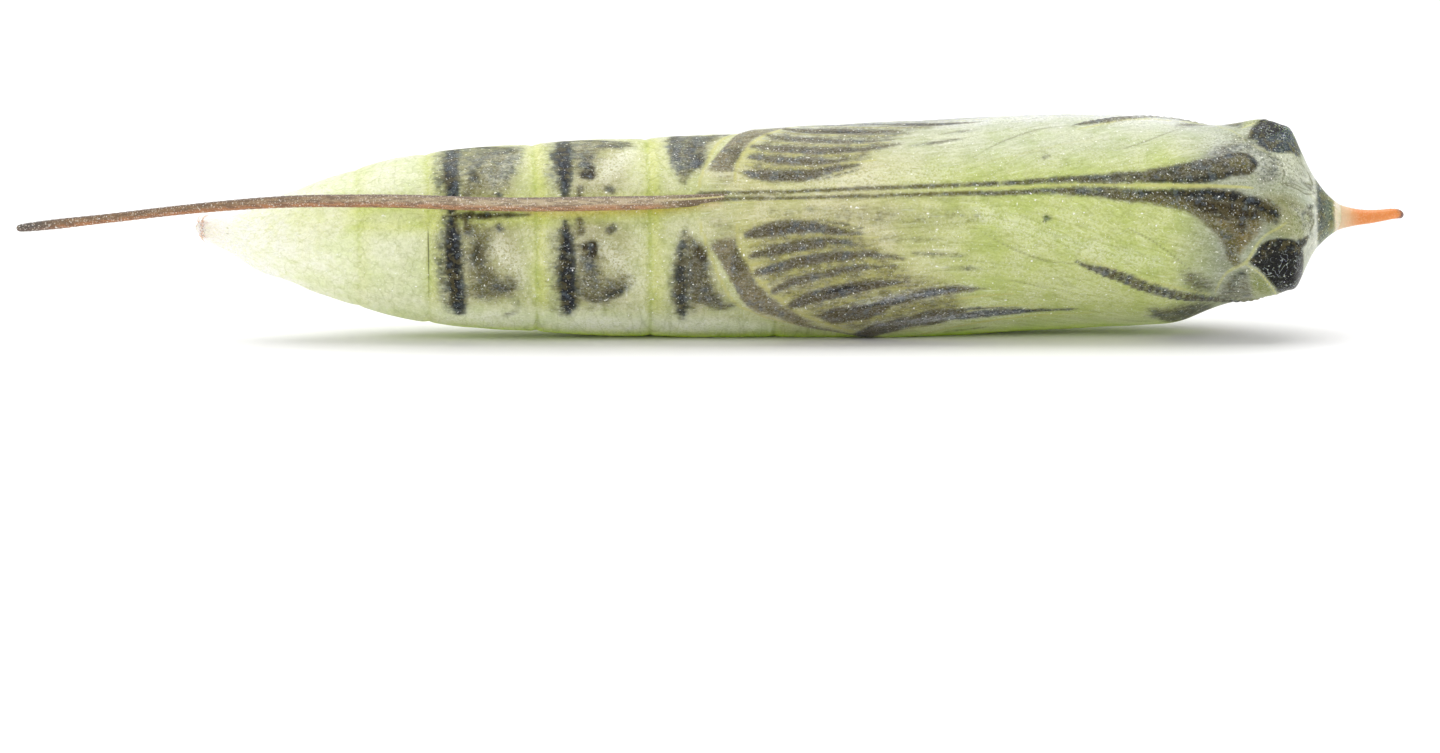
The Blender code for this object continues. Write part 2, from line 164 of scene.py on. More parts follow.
# Markings: (side, colour, strength, soft edge in mm, points), each laid over those before it. The points of a
# stroke are (station, degrees, half width in mm), and the corners of an area are (station, degrees).
# Sides are "both", "right" or "left". Degrees are counted round from the belly's midline.
ABDOMEN_MARKS = (
    ("left", "ink_olive", 0.72, 0.6, ((7.99, 7), (8.44, 7), (8.79, 12), (8.82, 21), (8.76, 33), (9.04, 41),
        (9.47, 41), (9.6, 48), (9.38, 57), (8.87, 60), (8.51, 60), (8.1, 58), (7.96, 27))),
    ("right", "ink_olive", 0.6, 0.6, ((7.9, 10), (8.5, 8), (9.2, 12), (9.6, 22), (9.8, 40), (9.5, 50),
        (8, 50))),
    ("both", "ink_olive", 0.5, 0.6, ((10.5, 20), (10.7, 12), (11.3, 10), (11.3, 60), (10.5, 66))),
    ("left", "ink_olive", 0.72, 0.56, ((11.34, 21), (11.67, 17), (12.03, 21), (12.09, 30), (12.14, 40),
        (12.72, 39), (13, 44), (12.7, 53), (12.33, 59), (11.76, 60), (11.33, 56))),
    ("right", "ink_olive", 0.56, 0.56, ((11.2, 48), (11.3, 24), (11.59, 20), (11.88, 20), (12.15, 32),
        (12.2, 44), (12.9, 46), (12.9, 56))),
    ("both", "ink_olive", 0.84, 0.46, ((14.55, 18), (14.99, 21), (15.27, 25), (15.33, 34), (15.38, 48),
        (15.8, 57), (15.57, 62), (14.93, 60), (14.74, 66), (14.5, 45))),
    ("both", "ink_grey", 0.55, 0.45, ((8.25, 30, 0.16), (8.55, 42, 0.26), (8.45, 56, 0.2))),
    ("both", "ink_blue", 0.6, 0.45, ((7.5, 6, 0.2), (7.52, 14, 0.36), (7.5, 30, 0.42), (7.56, 52, 0.42),
        (7.62, 68, 0.34))),
    ("both", "ink_blue", 1, 0.36, ((7.62, 2, 0.14), (7.66, 12, 0.26), (7.68, 30, 0.28), (7.7, 52, 0.29),
        (7.74, 66, 0.28), (7.76, 74, 0.16))),
    ("both", "ink_black", 1, 0.3, ((7.58, 14, 0.1), (7.58, 26, 0.22), (7.6, 42, 0.2), (7.64, 54, 0.12))),
    ("both", "ink_grey", 0.72, 0.34, ((8.32, 22, 0.2), (8.4, 30, 0.28), (8.44, 38, 0.16))),
    ("both", "ink_brown", 0.85, 0.2, ((8.34, 23, 0.14), (8.38, 28, 0.18))),
    ("both", "ink_black", 0.72, 0.2, ((8.36, 25, 0.1), (8.38, 31, 0.14))),
    ("both", "ink_olive", 0.92, 0.24, ((8.06, 5, 0.1), (8.12, 13, 0.16))),
    ("both", "ink_brown", 0.7, 0.2, ((8.06, 6, 0.06), (8.1, 11, 0.08))),
    ("both", "ink_grey", 0.8, 0.18, ((9.05, 8.5, 0.11), (9.07, 11, 0.13))),
    ("both", "ink_grey", 0.84, 0.4, ((8.8, 49, 0.18), (9.1, 50, 0.26), (9.34, 49, 0.2))),
    ("right", "ink_slate", 0.62, 0.36, ((7.41, 48), (7.93, 65), (9.01, 67), (9.81, 62), (9.83, 42),
        (9.56, 24), (9.27, 19), (8.9, 18), (8.47, 30), (8.11, 30), (7.89, 22), (7.6, 28))),
    ("right", "ink_blue", 0.8, 0.3, ((7.7, 70, 0.16), (8.6, 64, 0.22), (9.3, 57, 0.18), (9.55, 48, 0.1))),
    # Painted shadow: a dark brown strip beside the tongue case on the left of the belly, the shade that the
    # case casts
    ("left", "ink_brown", 0.95, 0.26, ((7.4, 2, 0.06), (8.1, 1.6, 0.14), (9, 2, 0.11), (10, 1.6, 0.02))),
    ("left", "ink_grey", 0.46, 0.3, ((9.45, 56, 0.1), (9.5, 66, 0.12), (9.2, 74, 0.1))),
    ("both", "ink_grey", 0.72, 0.4, ((11.55, 28, 0.2), (11.65, 40, 0.3), (11.7, 55, 0.22),
        (12.2, 56, 0.16))),
    ("both", "ink_blue", 0.55, 0.4, ((10.92, 16, 0.16), (10.9, 30, 0.32), (10.92, 50, 0.34),
        (10.94, 66, 0.26))),
    ("both", "ink_blue", 1, 0.38, ((11.02, 7, 0.08), (11.06, 14, 0.18), (11.04, 28, 0.29),
        (11.04, 50, 0.32), (11.04, 62, 0.28), (11.04, 69, 0.12))),
    ("both", "ink_black", 1, 0.28, ((10.98, 15, 0.06), (10.98, 27, 0.16), (11, 40, 0.14),
        (11.02, 50, 0.08))),
    ("both", "ink_brown", 1, 0.2, ((11.62, 23, 0.18), (11.86, 22, 0.16), (11.78, 27, 0.2))),
    ("both", "ink_slate", 0.86, 0.2, ((11.7, 32, 0.18), (11.82, 38, 0.16))),
    ("both", "ink_olive", 0.92, 0.22, ((11.46, 6, 0.09), (11.5, 14, 0.13))),
    ("both", "ink_grey", 0.74, 0.18, ((12.34, 13, 0.13), (12.48, 11, 0.13))),
    ("both", "ink_grey", 0.86, 0.34, ((12.12, 51, 0.2), (12.45, 51, 0.24), (12.74, 48, 0.16))),
    ("both", "ink_blue", 0.7, 0.2, ((12.25, 53, 0.1), (12.6, 51, 0.12))),
    ("right", "ink_grey", 0.6, 0.32, ((10.6, 53), (11.18, 62), (12.41, 63), (13.06, 58), (13.2, 46),
        (12.26, 46), (11.9, 36), (11.5, 34), (11.17, 42))),
    ("right", "ink_blue", 0.85, 0.28, ((10.56, 44), (11.03, 55), (11.47, 49), (11.31, 33), (11.29, 20),
        (11.1, 11), (10.93, 18), (10.73, 30))),
    ("right", "ink_blue", 0.8, 0.3, ((11, 68, 0.14), (11.6, 64.5, 0.16), (12.2, 61, 0.14),
        (12.75, 53, 0.1))),
    ("left", "ink_grey", 0.44, 0.3, ((11.6, 64, 0.1), (12.4, 61, 0.1))),
    ("both", "ink_grey", 0.8, 0.4, ((14.9, 34, 0.24), (15.05, 48, 0.34), (15.5, 60, 0.24),
        (15.9, 62, 0.14))),
    ("both", "ink_olive", 0.76, 0.26, ((14.62, 15, 0.06), (14.86, 22, 0.12))),
    ("both", "ink_blue", 0.92, 0.46, ((14.58, 16, 0.05), (14.5, 26, 0.18), (14.42, 40, 0.26),
        (14.4, 55, 0.27), (14.44, 66, 0.2), (14.45, 71, 0.08))),
    ("both", "ink_black", 0.6, 0.36, ((14.5, 26, 0.04), (14.4, 38, 0.1), (14.36, 50, 0.1))),
    ("both", "ink_brown", 1, 0.2, ((14.98, 26, 0.15), (15.08, 30, 0.18))),
    ("right", "ink_slate", 0.76, 0.3, ((14.07, 47), (14.43, 61), (15.09, 66), (15.37, 55), (15.14, 32),
        (15.14, 27), (14.77, 25), (14.62, 17), (14.4, 19), (14.2, 30))),
    ("right", "ink_blue", 0.8, 0.22, ((15, 38, 0.12), (15.1, 34, 0.16), (14.9, 46, 0.1))),
)
WING_MARKS = (
    ("both", "ink_band", 0.34, 0.5, ((15.4, 9), (16.1, 9), (16.2, 22), (15.6, 24))),
    ("both", "ink_band", 0.92, 0.32, ((15.34, 21), (15.75, 19), (16.12, 19), (16.2, 25), (16.39, 33),
        (16.73, 46), (17.31, 57), (17.84, 66), (18.4, 74), (18, 75.5), (17.35, 70), (16.76, 66),
        (16.29, 60), (15.88, 51), (15.62, 41), (15.4, 30))),
    ("both", "ink_band", 0.8, 0.22, ((17.42, 68, 0.15), (18.12, 77, 0.16), (18.8, 85, 0.16),
        (19.7, 94, 0.15), (20.6, 102, 0.12))),
    ("both", "ink_brown", 0.66, 0.24, ((16.08, 23), (16.23, 25), (16.4, 32), (16.48, 37), (16.18, 39),
        (15.88, 37), (16.02, 28))),
    ("both", "ink_grey", 0.5, 0.5, ((16.5, 18), (17.4, 12), (18.6, 11), (19.8, 19), (20.6, 32), (21.4, 44),
        (22.6, 52), (22.9, 72), (21, 84), (20, 86), (18.6, 72), (17.5, 55), (16.8, 40))),
    ("both", "ink_wing", 0.96, 0.25, ((16.48, 18, 0.122), (16.9, 16.6, 0.207), (17.5, 15, 0.232),
        (18.4, 15, 0.207), (19.2, 18, 0.134), (19.9, 19.5, 0.037))),
    ("both", "ink_grey", 0.62, 0.12, ((18.6, 11.5, 0.03), (19.2, 13.5, 0.06), (19.9, 17, 0.03))),
    ("both", "ink_wing", 0.96, 0.25, ((16.6, 29.5, 0.098), (17, 28, 0.171), (17.5, 26, 0.195),
        (18.4, 24, 0.183), (19.1, 23, 0.134), (19.7, 25, 0.049))),
    ("both", "ink_wing", 0.96, 0.25, ((16.72, 39, 0.098), (17.1, 37.3, 0.171), (17.5, 35.5, 0.195),
        (18.4, 32, 0.195), (19.3, 31, 0.171), (20.2, 31, 0.11), (21.1, 34, 0.037))),
    ("both", "ink_wing", 0.92, 0.25, ((17.18, 50.5, 0.098), (17.5, 47, 0.159), (18, 44, 0.183),
        (19, 40, 0.159), (19.8, 38, 0.122), (20.9, 38, 0.037))),
    ("both", "ink_wing", 1, 0.25, ((17.68, 60.5, 0.122), (18, 57.5, 0.22), (18.4, 54.5, 0.256),
        (19.2, 51, 0.256), (20.2, 48, 0.183), (21.2, 47, 0.049))),
    ("both", "ink_wing", 0.96, 0.25, ((18.33, 68), (18.93, 62), (19.89, 60), (20.41, 58), (20.78, 56),
        (21.6, 52), (22.64, 52), (23.6, 55), (22.63, 57), (21.88, 59), (20.84, 63), (20.02, 73),
        (18.91, 76))),
    ("both", "ink_slate", 0.9, 0.14, ((20.8, 60, 0.06), (21.6, 56, 0.1), (22.6, 54, 0.07))),
    ("both", "ink_wing", 0.94, 0.25, ((19.49, 88), (20.02, 78), (21.13, 71), (21.87, 66.5), (22.91, 68),
        (22.97, 75), (22.23, 80), (21.11, 84), (20.37, 91), (19.63, 101))),
    ("both", "ink_slate", 1, 0.18, ((22.4, 76, 0.1), (22.9, 75, 0.18), (23.5, 74.5, 0.18), (24.4, 74, 0.13),
        (25.2, 74.5, 0.07), (26.2, 75, 0.03))),
    ("both", "ink_slate", 0.8, 0.1, ((22.4, 69, 0.03), (23, 69, 0.06), (24, 70, 0.04), (24.6, 70.5, 0.01))),
    ("both", "ink_brown", 0.7, 0.14, ((17, 15.5, 0.03), (18, 13.5, 0.05))),
    ("both", "ink_black", 0.7, 0.14, ((19.4, 64.5, 0.04), (20.4, 60, 0.08), (21.2, 57, 0.03))),
    ("both", "ink_black", 0.75, 0.14, ((18.6, 53, 0.04), (19.3, 49.5, 0.08), (20, 48, 0.03))),
    ("both", "ink_black", 0.7, 0.14, ((21.6, 83, 0.05), (22.6, 76, 0.08), (23.6, 73, 0.05))),
    ("both", "ink_grey", 0.5, 0.16, ((22.3, 94, 0.08), (23.5, 90, 0.06))),
    ("both", "ink_grey", 0.6, 0.16, ((21.4, 31.5, 0.04), (22.2, 33, 0.08), (23, 35, 0.03))),
    ("both", "ink_grey", 0.55, 0.16, ((22.3, 41, 0.03), (22.9, 42, 0.07), (23.4, 43, 0.03))),
    ("right", "ink_slate", 0.46, 0.5, ((17.4, 66), (18.6, 60), (20.6, 58), (22.8, 62), (24.5, 70),
        (23.5, 96), (21, 100), (18.8, 84))),
)
HEAD_MARKS = (
    ("left", "ink_green", 0.8, 0.14, ((25.38, 17, 0.07), (25.44, 18, 0.09))),
    ("right", "ink_grey", 0.62, 0.16, ((25.36, 17, 0.07), (25.46, 18, 0.08))),
    ("both", "ink_grey", 0.62, 0.4, ((29.34, 52), (29.85, 55), (30.26, 64), (30.37, 74), (29.9, 72),
        (29.45, 62))),
    ("both", "ink_grey", 0.8, 0.5, ((28.4, 79), (29.2, 80), (29.8, 82), (30.35, 92), (30.3, 110),
        (29.5, 112), (28.9, 100), (28.4, 88))),
    ("both", "ink_black", 0.7, 0.5, ((29.3, 90, 0.1), (29.8, 96, 0.16), (30.1, 102, 0.1))),
    ("both", "ink_grey", 0.92, 0.26, ((28.9, 140, 0.14), (29.4, 145, 0.3), (30, 152, 0.32),
        (30.8, 160, 0.18))),
    ("both", "ink_slate", 0.55, 0.5, ((31.3, 152, 0.25), (31.4, 130, 0.3), (31.5, 108, 0.3))),
    ("both", "ink_slate", 0.46, 0.6, ((32.2, 178, 0.35), (32.3, 150, 0.35), (32.4, 120, 0.35))),
    ("right", "ink_olive", 0.84, 0.12, ((15, 6.2, 0.06), (16.1, 6, 0.065), (17.6, 5.2, 0.06), (19, 5, 0.06),
        (20.5, 4.8, 0.065), (22, 4, 0.07), (24.1, 2.8, 0.08), (25, 2.7, 0.09))),
    ("right", "ink_olive", 0.84, 0.12, ((15, 1.6, 0.06), (16.1, 2.4, 0.065), (17.6, 1.4, 0.06),
        (19, 0.9, 0.06), (20.5, 0.2, 0.065), (22, -0.6, 0.07), (24.1, -2.6, 0.08), (25, -2.8, 0.09))),
    ("right", "ink_brown", 0.5, 0.12, ((15, 4, 0.03), (16.5, 4.2, 0.03), (18, 3.2, 0.01))),
    ("left", "ink_olive", 0.34, 0.5, ((17.2, 5, 0.05), (19, 9, 0.2), (21, 12, 0.28), (23.4, 15, 0.14))),
    ("left", "ink_olive", 0.42, 0.24, ((19.6, 24, 0.04), (20.8, 23.5, 0.08), (22.2, 25, 0.05))),
    ("right", "ink_grey", 0.9, 0.2, ((23, 3.2, 0.02), (24.1, 2.9, 0.05), (25.5, 2.9, 0.09), (27, 3.5, 0.15),
        (28, 4.6, 0.2))),
    ("right", "ink_slate", 0.55, 0.44, ((28.57, 6), (29.42, 13), (30.28, 22), (30.88, 37), (31.64, 38),
        (31.97, 26), (31.63, 27), (30.95, 23), (30.27, 15), (29.42, 7))),
    ("right", "ink_slate", 0.34, 0.4, ((31.84, 20), (32.3, 27), (32.46, 16), (32.28, 7), (31.86, 3),
        (31.78, 11))),
    ("right", "ink_grey", 0.36, 0.3, ((32.81, 35), (33.06, 46), (33.54, 56), (33.78, 36), (33.53, 14),
        (33.21, 24))),
    ("left", "ink_black", 0.8, 0.24, ((33.19, 7), (33.4, 7), (33.34, 33), (33.17, 31), (33.26, 20))),
    ("left", "ink_grey", 0.9, 0.2, ((23, 1.8, 0.02), (24.1, 2.5, 0.05), (25.5, 3, 0.09), (27, 4.2, 0.17),
        (28, 5.8, 0.22))),
    ("right", "ink_grey", 0.94, 0.24, ((27.6, 2), (27.7, 7), (28.58, 10), (29.16, 13), (29.74, 16),
        (30.33, 20), (30.73, 24), (31.26, 27), (31.54, 25), (31.76, 18), (31.68, 12), (31.47, 8),
        (30.77, 5.5), (30.3, 3), (29.72, 1.6), (28.56, 1.4))),
    ("right", "ink_black", 0.9, 0.14, ((28.6, 2.4, 0.05), (29.72, 3.2, 0.08), (30.31, 5, 0.1),
        (30.9, 8, 0.08), (31.2, 9, 0.03))),
    ("right", "ink_olive", 0.96, 0.12, ((30.95, 14), (30.91, 20), (31.26, 23.5), (31.52, 21), (31.58, 15),
        (31.36, 11.5))),
    ("right", "ink_black", 0.95, 0.12, ((30.85, 22.5, 0.05), (31.26, 25.5, 0.07), (31.56, 23.5, 0.07),
        (31.7, 17, 0.07), (31.56, 11, 0.07), (31.34, 10, 0.05), (31.24, 14, 0.04))),
    ("left", "ink_tan", 0.92, 0.34, ((30.2, 17), (30.9, 18), (31.9, 20), (31.8, 29), (31.4, 38), (31.1, 46),
        (30.85, 42), (30.7, 32))),
    ("left", "ink_olive", 0.96, 0.26, ((27.6, 2), (28.85, 2), (29.72, 2), (30.41, 3), (30.99, 4),
        (31.56, 6), (32.08, 7), (32.4, 11), (32.47, 18), (32.23, 23), (31.97, 24), (31.78, 19), (31.43, 18),
        (30.68, 18), (30.45, 19), (30.5, 24), (30.84, 29), (31.06, 32), (31.11, 40), (31.04, 45),
        (31.18, 51), (31.03, 54), (30.86, 51), (30.7, 45), (30.65, 37), (30.48, 31), (30.26, 26),
        (29.98, 21), (29.58, 16), (29.12, 13), (28.54, 11), (27.7, 8))),
    ("left", "ink_brown", 1, 0.3, ((29.39, 8), (30.24, 8), (31.08, 11), (31.83, 16), (31.91, 22),
        (31.32, 23), (30.72, 22), (30.06, 17))),
    ("left", "ink_black", 1, 0.22, ((28, 4.6, 0.04), (28.7, 4.4, 0.08), (29.5, 4.6, 0.12),
        (30.6, 5.4, 0.16), (31.3, 8.2, 0.17), (31.92, 13, 0.14), (32.3, 19, 0.09), (32.25, 23, 0.05))),
    ("left", "ink_brown", 1, 0.3, ((30.95, 24), (31.2, 22), (31.42, 24), (31.36, 29), (31.22, 32),
        (31.05, 28))),
    ("both", "ink_grey", 0.6, 0.24, ((30.66, 70), (30.91, 61), (31.14, 57), (31.38, 55), (31.42, 64),
        (31.5, 77), (31.6, 104), (31.1, 108), (30.64, 98), (30.5, 79))),
    ("both", "ink_black", 0.72, 0.24, ((31, 61, 0.06), (31.2, 59.5, 0.1), (31.3, 60, 0.08))),
    ("left", "ink_black", 1, 0.1, ((31.43, 50), (31.63, 44), (31.78, 39), (31.99, 36), (32.28, 34),
        (32.57, 35), (32.85, 37), (33.02, 44), (33.06, 57), (33.07, 71), (33.02, 84), (32.89, 104),
        (32.71, 104), (32.51, 98), (32.33, 88), (32.17, 72), (31.95, 63), (31.72, 56), (31.55, 53))),
    ("left", "ink_black", 0.9, 0.1, ((32.85, 37), (33.08, 40), (33.26, 42), (33.22, 50), (33.05, 50))),
    ("right", "ink_eye", 1, 0.16, ((31.73, 37), (31.97, 47), (32.3, 60), (32.5, 100), (32.9, 104),
        (33.05, 80), (33.11, 60), (33.05, 42), (32.82, 35), (32.42, 31), (32.07, 30), (31.84, 34))),
    ("right", "ink_black", 1, 0.18, ((31.5, 41), (31.6, 50), (31.8, 60), (32, 75), (32.2, 100),
        (32.75, 100), (32.7, 75), (32.6, 58), (32.35, 48), (32, 42), (31.75, 38))),
    ("both", "ink_grey", 0.66, 0.2, ((33.14, 16, 0.06), (33.34, 19, 0.12), (33.46, 24, 0.06))),
    ("both", "ink_slate", 0.5, 0.44, ((32.6, 6, 0.05), (32.95, 14, 0.12), (33.2, 30, 0.16),
        (33.35, 60, 0.14), (33.4, 110, 0.12))),
    ("right", "ink_slate", 0.46, 0.4, ((30.9, 44, 0.1), (31.5, 38, 0.16), (32.1, 28, 0.14),
        (32.6, 22, 0.1))),
)
PALE_LINES = (
    ("both", 0.85, 0.12, ((15.02, 8, 0.05), (15.08, 13, 0.06), (15.3, 27, 0.06), (15.6, 43, 0.06),
        (16.05, 60, 0.06), (16.8, 68, 0.06), (18.02, 77.5, 0.05), (18.55, 84, 0.05), (19.62, 93, 0.05),
        (20.6, 103, 0.05), (21.8, 104.5, 0.05), (23.3, 107, 0.05), (24.9, 108, 0.05), (26.1, 106, 0.03))),
    ("both", 0.95, 0.1, ((16.12, 12, 0.04), (16.2, 23, 0.06), (16.44, 34, 0.07), (16.84, 46, 0.07),
        (17.36, 56, 0.07), (17.88, 65, 0.06), (18.5, 73, 0.05), (19.4, 84, 0.05), (20.3, 95, 0.05),
        (20.95, 103, 0.04))),
    ("both", 0.9, 0.09, ((16.5, 24, 0.05), (17.4, 20.6, 0.05), (18.4, 19.5, 0.05), (19.3, 20.7, 0.05),
        (20.4, 22, 0.03))),
    ("both", 0.9, 0.09, ((16.6, 34.5, 0.05), (17.4, 31, 0.05), (18.4, 28, 0.05), (19.3, 27, 0.05),
        (20.3, 28, 0.03))),
    ("both", 0.9, 0.09, ((16.9, 45, 0.05), (17.7, 40, 0.05), (18.7, 36, 0.05), (19.6, 34.5, 0.05),
        (20.8, 35.5, 0.03))),
    ("both", 0.9, 0.1, ((17.35, 56, 0.05), (18.1, 49.7, 0.06), (19.1, 45.5, 0.06), (20, 43, 0.06),
        (21.2, 42, 0.03))),
    ("both", 0.9, 0.1, ((17.95, 65, 0.05), (18.7, 62, 0.06), (19.7, 56.8, 0.06), (20.8, 52, 0.06),
        (21.9, 50, 0.03))),
    ("both", 0.85, 0.1, ((18.7, 76, 0.05), (19.6, 75.5, 0.06), (20.7, 69.5, 0.06), (21.9, 63, 0.06),
        (23.2, 60, 0.05), (24.4, 60, 0.03))),
    ("both", 0.8, 0.09, ((20, 88, 0.04), (21, 80.8, 0.05), (22.3, 74, 0.04), (23.6, 69, 0.05),
        (25, 69, 0.03))),
    ("both", 0.75, 0.1, ((21, 100, 0.05), (21.9, 91, 0.06), (23.2, 83, 0.06), (24.9, 79, 0.05),
        (26.7, 79, 0.03))),
    ("both", 0.8, 0.1, ((16, 0, 0.02), (20, 0, 0.02), (25, 0, 0.03), (28.3, 0, 0.05), (30, 0, 0.07),
        (31.6, 0, 0.04))),
    ("both", 0.7, 0.09, ((26.4, 39, 0.03), (27.6, 48.5, 0.05), (29.2, 63, 0.05), (30.2, 76, 0.04))),
    ("left", 0.6, 0.1, ((30.37, 77, 0.04), (30.52, 67, 0.06), (30.73, 59, 0.06), (31.03, 54.5, 0.07),
        (31.33, 51, 0.07), (31.5, 45, 0.06), (31.66, 39, 0.05), (31.95, 32, 0.05), (32.34, 27, 0.05),
        (32.58, 23, 0.04))),
    ("right", 0.5, 0.1, ((30.37, 77, 0.04), (30.62, 62, 0.05), (31, 52, 0.06), (31.4, 40, 0.06),
        (31.8, 32, 0.05), (32.24, 27, 0.05), (32.5, 15, 0.04))),
    ("both", 0.8, 0.07, ((31.36, 53, 0.03), (31.8, 60, 0.035), (32.1, 73, 0.035), (32.24, 92, 0.03))),
    ("both", 0.45, 0.12, ((22.6, 12, 0.03), (24.4, 19, 0.05), (26.2, 27, 0.05), (27.8, 33, 0.03))),
    ("both", 0.4, 0.12, ((24, 58, 0.03), (26, 66, 0.05), (28, 78, 0.04), (29.4, 90, 0.03))),
)
DARK_LINES = (
    ("both", 0.9, 0.08, ((16.75, 68, 0.01), (17.5, 76, 0.03), (18.3, 83.5, 0.045), (19.35, 92.5, 0.045),
        (20.3, 102, 0.04), (21.1, 106.5, 0.04), (23.3, 110.5, 0.03), (24.9, 111.5, 0.02), (26, 110, 0.01))),
    ("both", 0.55, 0.12, ((22.85, 19, 0.01), (23.32, 21, 0.03), (23.9, 28, 0.05), (24.6, 35, 0.06),
        (25.4, 41, 0.05), (26.5, 44, 0.02))),
    ("both", 0.6, 0.12, ((27.2, 20, 0.01), (27.94, 25, 0.04), (28.51, 31, 0.05), (29.07, 40, 0.05),
        (29.64, 52, 0.04))),
    ("both", 0.5, 0.14, ((23.9, 50, 0.01), (24.5, 52.5, 0.05), (25.2, 56.5, 0.05), (25.7, 58, 0.01))),
    ("both", 0.75, 0.06, ((33.2, 18, 0.03), (33.37, 25, 0.04), (33.39, 33, 0.04), (33.29, 41, 0.03))),
    ("right", 0.65, 0.06, ((32.3, 28, 0.02), (32.46, 22, 0.02), (32.57, 15, 0.03), (32.49, 7, 0.03),
        (32.79, 5, 0.03), (33.02, 5, 0.03), (33.21, 5, 0.03), (33.45, 14, 0.03), (33.51, 25, 0.02))),
    ("both", 0.7, 0.08, ((30.9, 152, 0.02), (30.95, 130, 0.04), (31, 104, 0.02))),
    ("both", 0.62, 0.06, ((31.42, 51, 0.02), (31.86, 58.5, 0.03), (32.19, 72, 0.03), (32.34, 92, 0.02))),
    ("left", 0.85, 0.06, ((6.94, 8, 0.01), (6.93, 16, 0.025), (6.92, 30, 0.025), (6.9, 50, 0.015),
        (6.88, 62, 0.01))),
    ("both", 0.4, 0.06, ((31.3, 54, 0.02), (31.72, 61, 0.02), (32.02, 74, 0.02), (32.14, 92, 0.02))),
    ("right", 0.55, 0.07, ((30.57, 32, 0.02), (30.8, 37, 0.03), (31.15, 39, 0.03), (31.5, 38, 0.02))),
    ("right", 0.6, 0.06, ((32.45, 6, 0.02), (32.87, 8, 0.03), (33.2, 10, 0.03), (33.53, 20, 0.02))),
    ("right", 0.5, 0.07, ((32.05, 26, 0.02), (32.38, 21, 0.03), (32.58, 10, 0.03), (32.61, 0, 0.02))),
    ("right", 0.55, 0.06, ((32.76, 21, 0.02), (32.89, 26, 0.03), (33.14, 39, 0.03), (33.18, 35, 0.03),
        (32.97, 23, 0.02), (32.8, 20, 0.02))),
    ("right", 0.45, 0.07, ((30.62, 29, 0.02), (30.9, 33, 0.02), (31.2, 35, 0.02))),
    ("both", 0.8, 0.06, ((31.28, 124, 0.04), (31.32, 125, 0.04))),
    ("both", 0.8, 0.06, ((31.5, 138, 0.035), (31.53, 139, 0.035))),
    ("both", 0.75, 0.06, ((0.86, 8, 0.03), (0.9, 10, 0.03))),
)
# Feeler: a band of beads along this line, and the length of one bead
FEELER_LINE = (
    (26.25, 41.5, 0.03), (26.6, 44.5, 0.1), (27.1, 48, 0.17), (27.8, 53.5, 0.2), (28.5, 61, 0.2),
    (29.2, 69, 0.19), (30.2, 81, 0.16), (31.2, 97, 0.13), (31.6, 103, 0.1), (32.2, 118, 0.05),
)
FEELER_BEAD = 0.235
# Tints laid over the skin: (side, colour, strength, soft edge, points)
TINT_STROKES = (
    ("both", "smoke", 0.7, 0.7, ((7.9, 3), (8.6, 3), (9.5, 8), (9.7, 30), (9.6, 56), (8.6, 62), (7.9, 60))),
    ("both", "smoke", 0.7, 0.6, ((11.2, 3), (12.2, 5), (12.9, 15), (12.9, 40), (12.7, 56), (11.8, 62),
        (11.2, 60))),
    ("both", "smoke", 0.7, 0.6, ((14.6, 16), (15, 24), (15.4, 40), (15.8, 58), (14.8, 66), (14.3, 60))),
    ("both", "tongue_side", 0.6, 0.8, ((4.6, 8, 0.02), (6.6, 8, 0.14), (9, 4, 0.18), (13, 2, 0.16),
        (15, 0, 0.1))),
    ("both", "rust", 0.45, 0.5, ((10, 0, 0.1), (12, 0, 0.14), (14.6, 0, 0.16), (15.6, 0, 0.06))),
    ("both", "wing_shade", 0.9, 0.9, ((16.3, 14), (17.4, 11), (18.6, 11), (19.8, 19), (20.6, 32),
        (21.4, 44), (22.6, 52), (22.9, 72), (21, 86), (20, 88), (18.6, 74), (17.5, 58), (16.6, 40))),
    # Painted sheen: the top light's pale bluish sheen along the upper right side, laid into the colour
    ("right", "painted_sheen", 0.85, 1.3, ((7, 78, 0.2), (12, 78, 0.3), (15.5, 74, 0.4), (18, 72, 0.8),
        (24, 68, 1.1), (29, 66, 1), (30.8, 70, 0.4))),
    ("right", "painted_sheen", 0.5, 1.6, ((16.8, 46, 0.4), (20, 44, 0.9), (24, 40, 1.3), (28, 42, 1.3),
        (30.2, 48, 0.4))),
    ("left", "back", 0.95, 1, ((6.6, 78, 0.3), (9, 80, 0.45), (12.5, 80, 0.45), (17, 84, 0.2))),
    # Painted glow: the low left flank painted a bright lime, standing in for light that passes through the
    # body
    ("left", "painted_glow_lime", 0.85, 1.3, ((5.5, 116, 0.1), (9, 116, 0.8), (14, 116, 1.1), (20, 116, 1.1),
        (26, 116, 1), (29.5, 116, 0.3))),
    ("both", "eye_olive", 0.95, 0.14, ((31.38, 55), (31.6, 58), (31.94, 66), (32.18, 90), (31.98, 95),
        (31.6, 102), (31.45, 70), (31.4, 59))),
    ("right", "face_slate", 0.85, 0.3, ((30.21, 22), (30.57, 31), (31.03, 34), (31.5, 34), (31.95, 30),
        (32.29, 25), (32.46, 16), (32.39, 9), (32.04, 5), (31.76, 7), (31.6, 20), (30.91, 22))),
    # Painted light: a paler strip on the low left flank, lightening the shade that falls there
    ("left", "tail_green", 0.7, 0.8, ((7.3, 72, 0.1), (9, 76, 0.34), (12, 77, 0.42), (15, 79, 0.3),
        (16.8, 82, 0.1))),
    ("left", "face_olive", 0.75, 0.4, ((31.9, 3), (32.6, 2), (33.1, 8), (33.3, 30), (33, 40), (32.5, 33),
        (32.1, 30), (32.4, 15))),
    ("left", "eye_olive", 0.9, 0.14, ((32.76, 20), (32.94, 17), (33.17, 18), (33.34, 24), (33.3, 34),
        (33.15, 38), (32.92, 34), (32.75, 29))),
    ("both", "rust", 0.35, 0.3, ((30.3, 170, 0.15), (30.5, 140, 0.2), (30.6, 112, 0.15))),
)
